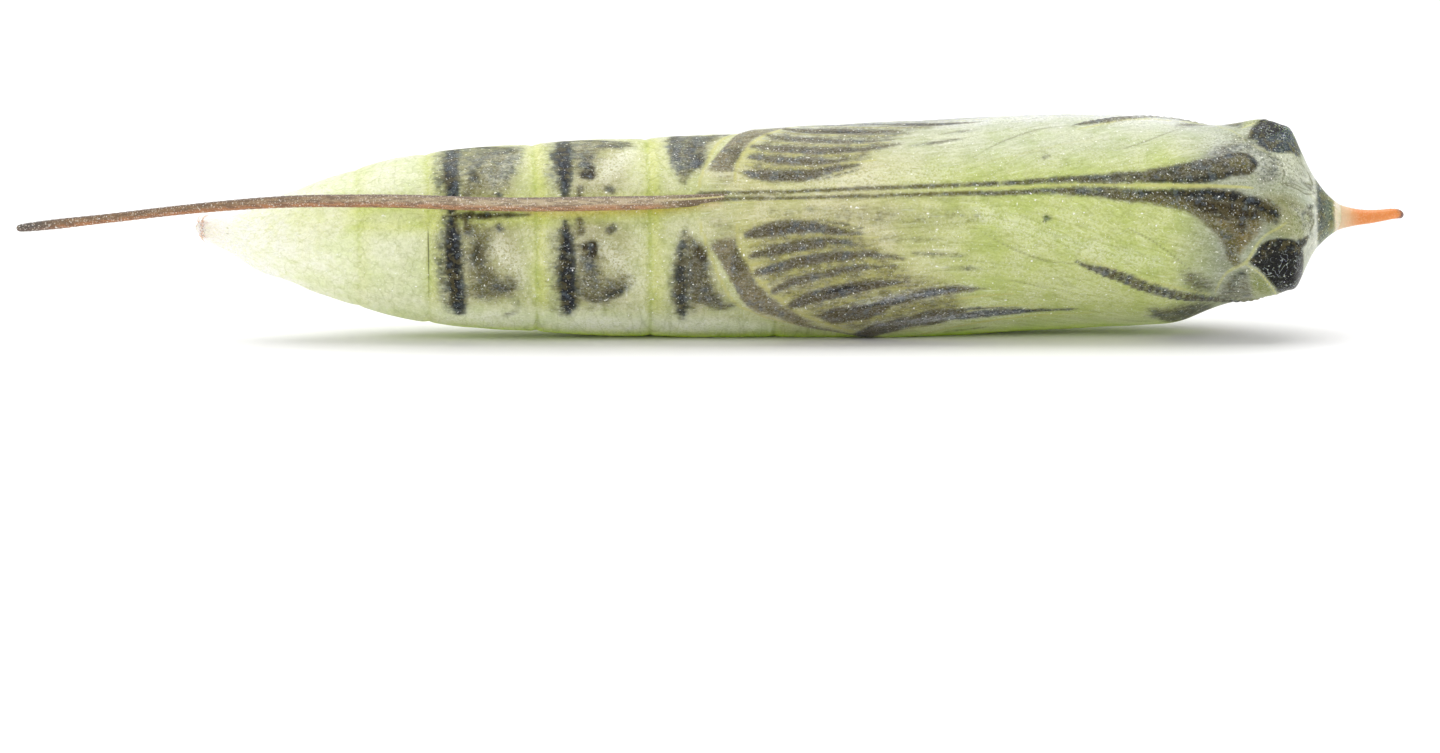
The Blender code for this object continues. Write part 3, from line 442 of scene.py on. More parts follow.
# Waxy bloom, and painted sheen on the upper right side and the front of the brow: (side, strength, soft edge,
# points)
BLOOM_AND_SHEEN_STROKES = (
    # Painted sheen on the front of the brow
    ("right", 0.7, 0.5, ((33.5, 30, 0.1), (33.7, 60, 0.2), (33.7, 110, 0.2))),
    ("both", 0.6, 0.7, ((7.4, 84, 0.3), (8.6, 82, 0.4), (9.5, 84, 0.3))),
    ("both", 0.6, 0.7, ((10.7, 84, 0.3), (11.9, 82, 0.45), (13, 84, 0.3))),
    ("both", 0.6, 0.7, ((14, 84, 0.3), (15.2, 80, 0.4), (16.4, 82, 0.3))),
    ("both", 0.48, 0.5, ((8.9, 22, 0.25), (9.4, 32, 0.25), (9.6, 44, 0.2))),
    ("both", 0.48, 0.5, ((12.2, 22, 0.2), (12.6, 32, 0.3), (13, 44, 0.2))),
    # Painted sheen: a pale band round the front of the brow
    ("both", 1, 0.2, ((33.3, 170, 0.1), (33.42, 110, 0.1), (33.45, 60, 0.1), (33.48, 10, 0.1))),
    ("right", 0.3, 0.6, ((17.6, 8, 0.2), (20, 10, 0.3), (22.5, 12, 0.3))),
    # Painted sheen: the top light's pale sheen along the upper right side
    ("right", 1, 1.3, ((7.2, 78, 0.1), (12, 76, 0.2), (16.5, 72, 0.5), (20, 68, 0.7), (24, 68, 0.8),
        (29, 66, 0.8))),
    ("left", 0.95, 0.5, ((20.2, 79, 0.15), (22.5, 75, 0.25), (24.6, 74, 0.12))),
    ("left", 0.9, 0.5, ((19.4, 63, 0.1), (21, 57, 0.2), (23, 54, 0.1))),
    ("right", 0.45, 1, ((30.5, 46, 0.4), (31.6, 24, 0.4), (32.6, 20, 0.4))),
    # Painted sheen on the front of the brow
    ("both", 0.8, 0.4, ((32.9, 14, 0.08), (33.2, 26, 0.1), (33.3, 60, 0.1))),
    ("left", 0.35, 0.6, ((23.6, 14, 0.2), (26, 30, 0.2), (28.6, 44, 0.2))),
)
# Skin colour along the belly side and along the back, with painted sheen at the front of the brow: (station,
# colour name)
BELLY_TINTS = (
    (0, "tail_pink"), (0.45, "tail_pink"), (1.1, "tail_cream"), (2.2, "tail_cream"), (4.2, "tail_green"),
    (6.6, "abdomen_rear"), (7.5, "abdomen"), (14.5, "abdomen"), (16.5, "wing_pale"), (20, "wing_pale"),
    (23.5, "wing_green"), (29, "wing_green"), (30.6, "face_grey"), (32.9, "face_grey"), (33.3, "painted_sheen"),
    (33.98, "painted_sheen"), (34.06, "horn_base"), (34.25, "horn_base"),
)
BACK_TINTS = (
    (0, "tail_pink"), (0.45, "tail_pink"), (1.1, "tail_cream"), (2.2, "tail_cream"), (4.2, "tail_green"),
    (8, "back"), (28.5, "back"), (30.8, "face_grey"), (32.9, "face_grey"), (33.3, "painted_sheen"), (33.98, "painted_sheen"),
    (34.06, "horn_base"), (34.25, "horn_base"),
)
BACK_FROM = 92.0
BACK_BLEND = 40.0

# Breathing holes: (station, degrees round), the same on both sides
SPIRACLES = (
    (3.1, 156), (4.1, 149), (4.9, 151), (6.3, 151), (7.6, 142), (9.3, 148), (11, 139), (12.6, 145),
    (14.3, 139), (16, 145), (17.7, 143), (19.3, 152), (21, 149), (22.5, 152), (23.5, 146), (25.3, 137),
)

# Sizes of the skin's patterns in millimetres, and the smallest grain's share of the grain size
CLOUD_SIZE = 1.1
BLOTCH_SIZE = 0.34
STREAK_SIZE = 0.30
FIBRE_SIZE = 0.11
FROST_SIZE = 0.14
THREAD_SIZE = 0.13
CREASE_SIZE = 0.42
MOTTLE_SIZE = 0.27
SQUIGGLE_SIZE = 0.17
FINE_SHARE = 0.6

# Bright specks of the skin, white wax grains and painted glints laid into its colour: (size in mm, level of
# the noise, strength)
GLINTS = ((0.055, 0.74, 0.40), (0.080, 0.800, 0.95))

# Fixed tones of the materials, and how far each colour of light spreads inside them
RUST_TONE = (0.088, 0.070, 0.022)
STEEL_TONE = (0.085, 0.108, 0.140)
SPECK_TONE = (0.52, 0.53, 0.50)
HAZE_TONE = (0.50, 0.52, 0.55)
GLINT_TONE = (0.86, 0.87, 0.84)
# Painted reflections on the glossy eyes
SQUIGGLE_GLINT_TONE = (0.60, 0.66, 0.74)
TONGUE_FLECK = (0.72, 0.64, 0.54)
TONGUE_GLINT = (0.92, 0.90, 0.86)
HORN_FOOT = (0.020, 0.026, 0.036)
HORN_FLECK = (0.95, 0.66, 0.42)
BRISTLE_FLECK = (0.93, 0.80, 0.68)
HOLE_FLECK = (0.09, 0.08, 0.06)
SKIN_SPREAD = (1.0, 1.06, 0.55)
TONGUE_SPREAD = (1.0, 0.6, 0.35)
HORN_SPREAD = (1.0, 0.55, 0.25)
SMALL_SPREAD = (1.0, 0.6, 0.4)

# Camera: its angle above the floor in degrees, and the point at the centre of the picture, in millimetres
CAMERA_ANGLE = 8.0
PICTURE_CENTRE = (0.285, -1.32)


def seen(red, green, blue):
    """A colour given as 0 to 255 on a screen, as the linear values that Blender's sockets take."""
    share = np.array([red, green, blue]) / 255.0
    return tuple(np.where(share <= 0.04045, share / 12.92, ((share + 0.055) / 1.055) ** 2.4).tolist())


def colour(name, red, green, blue):
    """A colour property, called after what it colours, with its default given as it looks on a screen."""
    return FloatVectorProperty(
        name=name, description="Colour: " + name.lower(), subtype="COLOR", size=3, min=0.0, max=1.0,
        default=seen(red, green, blue),
    )


def power(name, watts):
    """The power of a light."""
    return FloatProperty(name=name, description=name, subtype="POWER", unit="POWER", default=watts, min=0.0)


def number(name, description, default, low, high=1000):
    """A whole number of points, rows or bristles."""
    return IntProperty(name=name, description=description, default=default, min=low, max=high)


def length(name, description, millimetres):
    """A length property with its default given in millimetres."""
    return FloatProperty(
        name=name, description=description, subtype="DISTANCE", unit="LENGTH", min=0.0, precision=6,
        default=millimetres * MM,
    )


def share(name, description, default):
    """A property that runs from 0 to 1."""
    return FloatProperty(
        name=name, description=description, subtype="FACTOR", min=0.0, max=1.0, default=default
    )


class ChrysalisSkin(bpy.types.PropertyGroup):
    """Sizes and colours of the skin."""

    rows: number("Rows", "Rows of points from tail to brow", 352, 60, 360)
    columns: number("Columns", "Points in each row", 278, 60, 280)
    ring_depth: length("Ring depth", "Depth of the cut at each ring of the abdomen", 0.03)
    ring_width: length("Ring width", "Half width of the cut at each ring", 0.13)
    fold_depth: length("Fold depth", "Depth of the fine fold at the middle of each ring", 0.012)
    fold_width: length("Fold width", "Half width of the fine fold", 0.05)
    belly_notch: length("Belly notch", "How much deeper the rings are cut at the belly", 0.02)
    swell: length("Segment swell", "How far each segment bulges between its rings", 0.035)
    wing_height: length("Wing height", "How far the wing cases stand above the abdomen", 0.12)
    wing_ledge: length("Wing ledge", "Width of the slope at the wing cases' edge", 0.16)
    vein_height: length("Vein height", "How far the pale veins stand up", 0.022)
    seam_depth: length("Seam depth", "Depth of the fine dark seams between leg cases", 0.03)
    feeler_height: length("Feeler height", "How far the feelers stand up", 0.09)
    eye_height: length("Eye height", "How far the eyes bulge", 0.34)
    shoulder_height: length("Shoulder height", "How far the shoulders stand out", 0.16)
    palp_height: length("Palp height", "How far the palps stand up", 0.12)
    groove_depth: length("Groove depth", "Depth of the groove for the tongue case", 0.15)
    wrinkle_height: length("Wrinkle height", "Height of the slow unevenness of the skin", 0.012)
    grain_size: length("Grain size", "Size of the speckle at the edges of dark marks", 0.12)
    depth_of_light: length("Depth of light", "How far light travels inside the body", 7.0)
    translucency: share("Translucency", "Share of the light that enters the body", 0.85)
    tail_pink: colour("Tail tip", 248, 226, 212)
    tail_cream: colour("Tail spine", 237, 237, 226)
    tail_green: colour("Last segments", 228, 230, 210)
    abdomen_rear: colour("Abdomen in front of the tail", 214, 216, 190)
    abdomen: colour("Abdomen", 203, 203, 164)
    smoke: colour("Dim skin round the spots", 168, 160, 122)
    back: colour("Back", 224, 229, 200)
    wing_pale: colour("Rear half of the wing cases", 200, 194, 156)
    wing_green: colour("Front half of the wing cases", 194, 200, 132)
    wing_shade: colour("Between the wing bands", 188, 182, 116)
    # Painted glow: light passing through the body, painted into the low left flank
    painted_glow_lime: colour("Low flank lit from within", 226, 250, 66)
    tongue_side: colour("Beside the tongue case", 214, 222, 110)
    rust: colour("Rusty tint under the tongue case", 214, 168, 104)
    face_grey: colour("Face", 152, 155, 144)
    face_olive: colour("Round the mouth", 146, 143, 104)
    face_slate: colour("Beside the right palp", 122, 124, 126)
    horn_base: colour("Round the horn's foot", 250, 214, 208)
    eye_olive: colour("Crescent behind each eye", 128, 132, 84)
    ink_black: colour("Blackest marks", 6, 6, 6)
    ink_blue: colour("Bars on the abdomen", 17, 23, 34)
    ink_slate: colour("Bluish marks", 58, 62, 68)
    ink_eye: colour("Front of the right eye", 44, 52, 70)
    ink_grey: colour("Most marks", 66, 62, 50)
    ink_wing: colour("Bands on the wing cases", 92, 85, 70)
    ink_band: colour("Margin of the wing cases", 124, 114, 88)
    ink_brown: colour("Brown spots", 46, 36, 4)
    ink_olive: colour("Olive marks", 92, 86, 42)
    ink_green: colour("Green spot on the leg case", 62, 84, 34)
    ink_tan: colour("Tan mark on the palp", 116, 100, 44)
    vein: colour("Pale veins", 192, 188, 116)
    seam: colour("Thin dark lines", 84, 82, 56)
    membrane: colour("Soft skin between segments", 206, 208, 128)
    fold: colour("Fold between segments", 180, 188, 108)
    # Painted sheen of the top light, on the upper right side and the front of the brow
    painted_sheen: colour("Painted sheen on the right side and brow", 190, 192, 200)
    bloom_and_sheen: colour("Waxy bloom and painted sheen", 236, 237, 228)


class ChrysalisTongue(bpy.types.PropertyGroup):
    """Sizes and colours of the tongue case."""

    rows: number("Rows", "Rings of points along the case", 420, 40)
    sides: number("Sides", "Points in each ring", 28, 8)
    seam_depth: length("Seam depth", "Depth of the seam between the two halves of the case", 0.022)
    wrinkle: length("Wrinkle", "Height of the fine rings on the case", 0.004)
    brown: colour("Free part", 140, 112, 82)
    pale: colour("Part on the belly", 186, 170, 140)
    edge: colour("Dark right side", 98, 80, 66)
    rufous: colour("Rufous left side", 176, 118, 78)
    gap: colour("Gap between the halves", 200, 190, 132)
    tip: colour("Tip", 84, 80, 76)


class ChrysalisHorn(bpy.types.PropertyGroup):
    """Sizes and colours of the brow horn."""

    rows: number("Rows", "Rings of points along the horn", 120, 20)
    sides: number("Sides", "Points in each ring", 36, 8)
    roughness_height: length("Roughness height", "Height of the fine grain on the horn", 0.006)
    cream: colour("Base", 220, 190, 152)
    orange: colour("Shaft", 222, 138, 66)
    tip: colour("Tip", 92, 44, 34)


class ChrysalisTail(bpy.types.PropertyGroup):
    """Sizes and colours of the tail's bristles and of the breathing holes."""

    bristles: number("Bristles", "Number of hooked bristles at the tip of the tail", 26, 4)
    bristle_length: length("Bristle length", "Length of a bristle", 0.34)
    bristle_radius: length("Bristle radius", "Radius of a bristle at its root", 0.03)
    hole_radius: length("Hole radius", "Radius of a breathing hole's dark rim", 0.068)
    hole_height: length("Hole height", "How far the rim stands up", 0.02)
    bristle: colour("Bristles", 228, 180, 162)
    hole: colour("Breathing holes", 30, 26, 20)


class ChrysalisStudio(bpy.types.PropertyGroup):
    """The floor, the lights and the camera."""

    floor_side: length("Floor side", "Length of the floor's side", 2400.0)
    floor_colour: colour("Floor", 250, 250, 250)
    camera_distance: length("Camera distance", "Distance from the camera to the object", 900.0)
    lens: FloatProperty(name="Lens", description="Focal length in millimetres", default=750.0, min=10.0)
    sky_strength: share("Sky strength", "Brightness of the white surroundings", 0.66)
    top_side: length("Top light side", "Side of the soft light above", 260.0)
    top_height: length("Top light height", "Height of the soft light above", 240.0)
    top_power: power("Top light power", 0.52)
    front_side: length("Front light side", "Side of the soft light beside the camera", 160.0)
    front_power: power("Front light power", 0.19)


def along(points, at):
    """Value at each station of a smooth line through (station, value) points: a cubic between neighbours."""
    x, y = np.array(points, float).T[:2]
    slope = np.gradient(y, x)
    at = np.clip(np.asarray(at, float), x[0], x[-1])
    left = np.clip(np.searchsorted(x, at, side="right") - 1, 0, len(x) - 2)
    gap = x[left + 1] - x[left]
    t = (at - x[left]) / gap
    return (
        (2 * t**3 - 3 * t**2 + 1) * y[left]
        + (t**3 - 2 * t**2 + t) * gap * slope[left]
        + (3 * t**2 - 2 * t**3) * y[left + 1]
        + (t**3 - t**2) * gap * slope[left + 1]
    )


def ease(x):
    """0 below 0, 1 above 1, and a smooth step between."""
    x = np.clip(x, 0.0, 1.0)
    return x * x * (3 - 2 * x)


def bell(x):
    """1 at 0, falling smoothly to nothing on both sides."""
    return np.exp(-x * x)


def lying(s, v, w):
    """Points in metres in the row frame, from the animal's own frame in millimetres."""
    turned = math.radians(BELLY_TURNED_UP)
    raised = math.radians(HEAD_RAISED)
    y = w * math.sin(turned) - v * math.cos(turned)
    up = v * math.sin(turned) + w * math.cos(turned)
    x = s * math.cos(raised) - up * math.sin(raised)
    z = s * math.sin(raised) + up * math.cos(raised)
    return (np.stack([x, y, z], axis=-1) - ORIGIN) * MM


def laid(points):
    """The same for an array of (s, v, w) points."""
    return lying(points[..., 0], points[..., 1], points[..., 2])


def unit(vectors):
    """Vectors made one long."""
    return vectors / np.linalg.norm(vectors, axis=-1, keepdims=True)


def slanted(s, turn):
    """Rings lean: their belly side is nearer the head, except at the two ends of the body."""
    fade = ease(s / TAIL_FADE) * ease((BROW_START - s) / BROW_FADE)
    return s + RING_SLANT * np.cos(np.radians(turn)) * fade


class Skin:
    """A patch of skin: stations and angles of its points, and the markings and relief found there."""

    def __init__(self, s, angle):
        self.s = s
        self.angle = angle
        self.turn = np.abs(angle)
        self.width = along(HALF_WIDTH, s)

    def side(self, name):
        """Angles counted so that a stroke of this side lies at positive ones."""
        return {"both": self.turn, "right": self.angle, "left": -self.angle}[name]

    def cover(self, ledge):
        """1 where the wing cases and face cover the body, 0 behind and above them, over a ledge this wide."""
        behind = ease((self.s - along(WING_EDGE, self.turn)) / ledge + 0.5)
        above = ease((WING_TOP_ANGLE - self.turn) / WING_TOP_BLEND + 0.5)
        in_front = ease((self.s - WING_FRONT) / WING_FRONT_BLEND)
        return behind * (above + (1 - above) * in_front)

    def near(self, side, stations, degrees, radius, reach):
        """Which points lie within reach of these stations and degrees, and where on the unrolled skin."""
        turn = self.side(side)
        turned = np.degrees(reach / radius.min())
        near = (self.s > stations.min() - reach) & (self.s < stations.max() + reach)
        near &= (turn > degrees.min() - turned) & (turn < degrees.max() + turned)
        return near, np.stack([self.s[near], np.radians(turn[near]) * self.width[near]], axis=1)

    def stroke(self, side, points, edge, bead=None):
        """How much a stroke covers each point: 1 within its half width of a smooth line through points,
        falling to 0 over the soft edge. Distance is measured on the unrolled skin. A bead length swells it
        regularly."""
        s0, a0, h0 = np.array(points, float).T
        corners = np.arange(len(points))
        fine = np.linspace(0, len(points) - 1, (len(points) - 1) * 5 + 1)
        s1, a1, h1 = (along(np.stack([corners, values], axis=1), fine) for values in (s0, a0, h0))
        radius = along(HALF_WIDTH, s1)
        near, at = self.near(side, s1, a1, radius, max(h0) + edge)
        found = np.zeros(self.s.shape)
        if not near.any():
            return found
        line = np.stack([s1, np.radians(a1) * radius], axis=1)
        run = np.concatenate([[0.0], np.cumsum(np.hypot(*np.diff(line, axis=0).T))])
        best = np.full(len(at), 1e9)
        where = np.zeros(len(at))
        half = np.zeros(len(at))
        for first in range(len(line) - 1):
            step = line[first + 1] - line[first]
            t = np.clip(((at - line[first]) @ step) / max(step @ step, 1e-12), 0.0, 1.0)
            distance = np.hypot(*(at - line[first] - t[:, None] * step).T)
            nearer = distance < best
            best = np.where(nearer, distance, best)
            where = np.where(nearer, run[first] + t * (run[first + 1] - run[first]), where)
            half = np.where(nearer, h1[first] + t * (h1[first + 1] - h1[first]), half)
        if bead:
            half = half * (0.95 + 0.07 * np.cos(where / bead * 2 * math.pi))
        value = ease((half - best) / edge + 0.5)
        if bead:
            value = value * (0.86 + 0.14 * np.cos(where / bead * 2 * math.pi))
        found[near] = value
        return found

    def area(self, side, points, edge):
        """How much a closed outline of (station, degrees) points covers each point: 1 inside it and 0
        outside, with a smooth step over the soft edge. Whether a point is inside comes from how many times a
        line from it along the body crosses the outline."""
        s0, a0 = np.array(points, float).T
        radius = along(HALF_WIDTH, s0)
        corners = np.stack([s0, np.radians(a0) * radius], axis=1)
        near, at = self.near(side, s0, a0, radius, edge)
        found = np.zeros(self.s.shape)
        if not near.any():
            return found
        best = np.full(len(at), 1e9)
        inside = np.zeros(len(at), bool)
        for here, there in zip(corners, np.roll(corners, -1, axis=0)):
            step = there - here
            t = np.clip(((at - here) @ step) / max(step @ step, 1e-12), 0.0, 1.0)
            best = np.minimum(best, np.hypot(*(at - here - t[:, None] * step).T))
            level = (here[1] > at[:, 1]) != (there[1] > at[:, 1])
            crossing = here[0] + (at[:, 1] - here[1]) * step[0] / (step[1] if step[1] else 1e-12)
            inside ^= level & (at[:, 0] < crossing)
        found[near] = ease(np.where(inside, best, -best) / edge + 0.5)
        return found

    def mark(self, side, points, edge):
        """A stroke where each point has a half width, and an area where it has none."""
        return self.stroke(side, points, edge) if len(points[0]) == 3 else self.area(side, points, edge)

    def lump(self, place, size):
        """A bell of the distance from a place on the skin, with its half length and half width."""
        round_body = np.radians(self.turn - place[1]) * self.width
        return bell((self.s - place[0]) / size[0]) * bell(round_body / size[1])


def ring_relief(skin, settings, cover):
    """The cut at each ring with a fine fold in it, and the swelling of the segment between two rings."""
    relief = np.zeros_like(skin.s)
    belly = bell(skin.turn / BELLY_NOTCH_ANGLE)
    for ring in RINGS:
        off = skin.s - slanted(ring, skin.turn)
        cut = (settings.ring_depth + settings.belly_notch * belly) * ease(ring / RING_FADE)
        relief -= cut / MM * bell(off * MM / settings.ring_width)
        relief -= settings.fold_depth / MM * bell(off * MM / settings.fold_width) * ease(ring / RING_FADE)
    for rear, front in zip(RINGS[:-1], RINGS[1:]):
        part = np.clip((skin.s - rear) / (front - rear), 0.0, 1.0)
        relief += settings.swell / MM * np.sin(math.pi * part) ** SWELL_ROUNDNESS
    return relief * (1 - cover)


def wrinkles(skin):
    """Slow unevenness from -1 to 1: products of sines along and round the body, with unlike wavelengths."""
    around = np.radians(skin.angle) * skin.width
    s = skin.s
    first = np.sin(1.9 * s + 1.1 * np.sin(1.3 * around)) * np.sin(2.3 * around + 0.7 * np.sin(0.9 * s))
    second = np.sin(4.7 * s - 2.1 * around + 1.5 * np.sin(1.7 * around)) * np.sin(3.1 * around + 0.6 * s)
    return 0.6 * first + 0.4 * second


def groove(skin):
    """1 along the belly behind the wing cases, where the tongue case lies."""
    off = np.radians(skin.turn) * skin.width
    ends = ease((skin.s - GROOVE_START) / GROOVE_FADE) * ease((GROOVE_END - skin.s) / GROOVE_FADE)
    return ends * bell(off / GROOVE_HALF_WIDTH)


def lines(skin, table):
    """The strongest of several strokes at each point, each times its strength."""
    found = np.zeros(skin.s.shape)
    for side, strength, edge, points in table:
        found = np.maximum(found, strength * skin.stroke(side, points, edge))
    return found


def skin_point(skin, settings):
    """The skin in the animal's frame: an oval section at each station, moved outwards by the relief there."""
    back = along(BACK_LINE, skin.s)
    belly = along(BELLY_LINE, skin.s)
    cover = skin.cover(settings.wing_ledge / MM)
    relief = settings.wing_height / MM * cover * ease((BROW_START - skin.s) / BROW_FADE)
    relief += ring_relief(skin, settings, cover)
    relief += settings.feeler_height / MM * skin.stroke("both", FEELER_LINE, 0.22, FEELER_BEAD)
    relief += settings.eye_height / MM * skin.lump(EYE_PLACE, EYE_SIZE)
    relief += settings.shoulder_height / MM * skin.lump(SHOULDER_PLACE, SHOULDER_SIZE)
    relief += settings.palp_height / MM * skin.lump(PALP_PLACE, PALP_SIZE)
    relief += settings.vein_height / MM * lines(skin, PALE_LINES)
    relief -= settings.seam_depth / MM * lines(skin, DARK_LINES)
    relief += settings.wrinkle_height / MM * wrinkles(skin)
    relief -= settings.groove_depth / MM * groove(skin)
    relief *= ease(skin.s / TAIL_FADE)
    middle = (belly + back) / 2
    depth = (belly - back) / 2
    v = middle + (depth + relief) * np.cos(np.radians(skin.angle))
    w = along(BEND, skin.s) + (skin.width + relief) * np.sin(np.radians(skin.angle))
    return v, w


def rested(points):
    """Points in metres, raised to the floor where the soft skin is flattened."""
    points[..., 2] = np.maximum(points[..., 2], 0.0)
    return points


def rods_mesh(name, rings, tips):
    """A mesh of closed rods from rings of points in metres, shaped (rod, row, side, 3), and the points that
    close both ends of each rod, shaped (rod, 2, 3)."""
    rods, rows, sides = rings.shape[:3]
    at = np.concatenate([rings.reshape(-1, 3), tips.reshape(-1, 3)])
    rod, row, side = np.meshgrid(np.arange(rods), np.arange(rows - 1), np.arange(sides), indexing="ij")
    here = (rod * rows + row) * sides + side
    beside = (rod * rows + row) * sides + (side + 1) % sides
    quads = np.stack([here, here + sides, beside + sides, beside], axis=-1).reshape(-1, 4)
    rod, side = np.meshgrid(np.arange(rods), np.arange(sides), indexing="ij")
    start = rods * rows * sides + 2 * rod
    root = rod * rows * sides
    top = root + (rows - 1) * sides
    behind = np.stack([start, root + side, root + (side + 1) % sides], axis=-1).reshape(-1, 3)
    ahead = np.stack([start + 1, top + (side + 1) % sides, top + side], axis=-1).reshape(-1, 3)
    mesh = bpy.data.meshes.new(name)
    mesh.from_pydata(at.tolist(), [], quads.tolist() + behind.tolist() + ahead.tolist())
    mesh.update()
    mesh.shade_smooth()
    return mesh


def rod_mesh(name, rings, ends):
    """A mesh of one closed rod from rings shaped (row, side, 3) and its two end points."""
    return rods_mesh(name, rings[None], np.array(ends)[None])


def volume(mesh):
    """Signed volume of a closed mesh: positive when its faces point outwards."""
    mesh.calc_loop_triangles()
    at = np.empty(len(mesh.vertices) * 3)
    mesh.vertices.foreach_get("co", at)
    corners = np.empty(len(mesh.loop_triangles) * 3, int)
    mesh.loop_triangles.foreach_get("vertices", corners)
    a, b, c = at.reshape(-1, 3)[corners.reshape(-1, 3)].transpose(1, 0, 2)
    return float((a * np.cross(b, c)).sum() / 6)


def flow(skin, cover):
    """A place for the fine streaks' noise, in millimetres. On the wing and leg cases it is slow along lines
    that run from the head to the wings' edge, and on the abdomen it is slow round the body."""
    round_body = np.radians(skin.turn - along(FLOW, skin.s)) * 3.0
    round_body = round_body * (FLOW_STRETCH + (1 - FLOW_STRETCH) * cover)
    down_body = skin.s * (0.8 - (0.8 - FLOW_STRETCH) * cover)
    return np.stack([down_body, round_body, 2.0 * np.sin(np.radians(skin.angle))], axis=-1)


def add_value(mesh, name, values):
    """A number at each point of the mesh, that its material reads by name."""
    whole = np.asarray(values, np.float32).ravel()
    mesh.attributes.new(name, "FLOAT", "POINT").data.foreach_set("value", whole)


def add_colour(mesh, name, values):
    """A colour at each point of the mesh, that its material reads by name."""
    whole = np.concatenate([values, np.ones((len(values), 1))], axis=1).astype(np.float32)
    mesh.attributes.new(name, "FLOAT_COLOR", "POINT").data.foreach_set("color", whole.ravel())


def finish_piece(name, mesh, material):
    """Puts a mesh in the scene as a piece that stands for the CAD solid, and checks that it faces out."""
    if volume(mesh) <= 0:
        raise RuntimeError(name + " is inside out")
    old = bpy.data.objects.get(name)
    if old is not None:
        bpy.data.objects.remove(old)
    piece = bpy.data.objects.new(name, mesh)
    bpy.context.scene.collection.objects.link(piece)
    mesh.materials.append(material)
    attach(piece, BODY)
    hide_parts(CAD_NODE)
    return piece


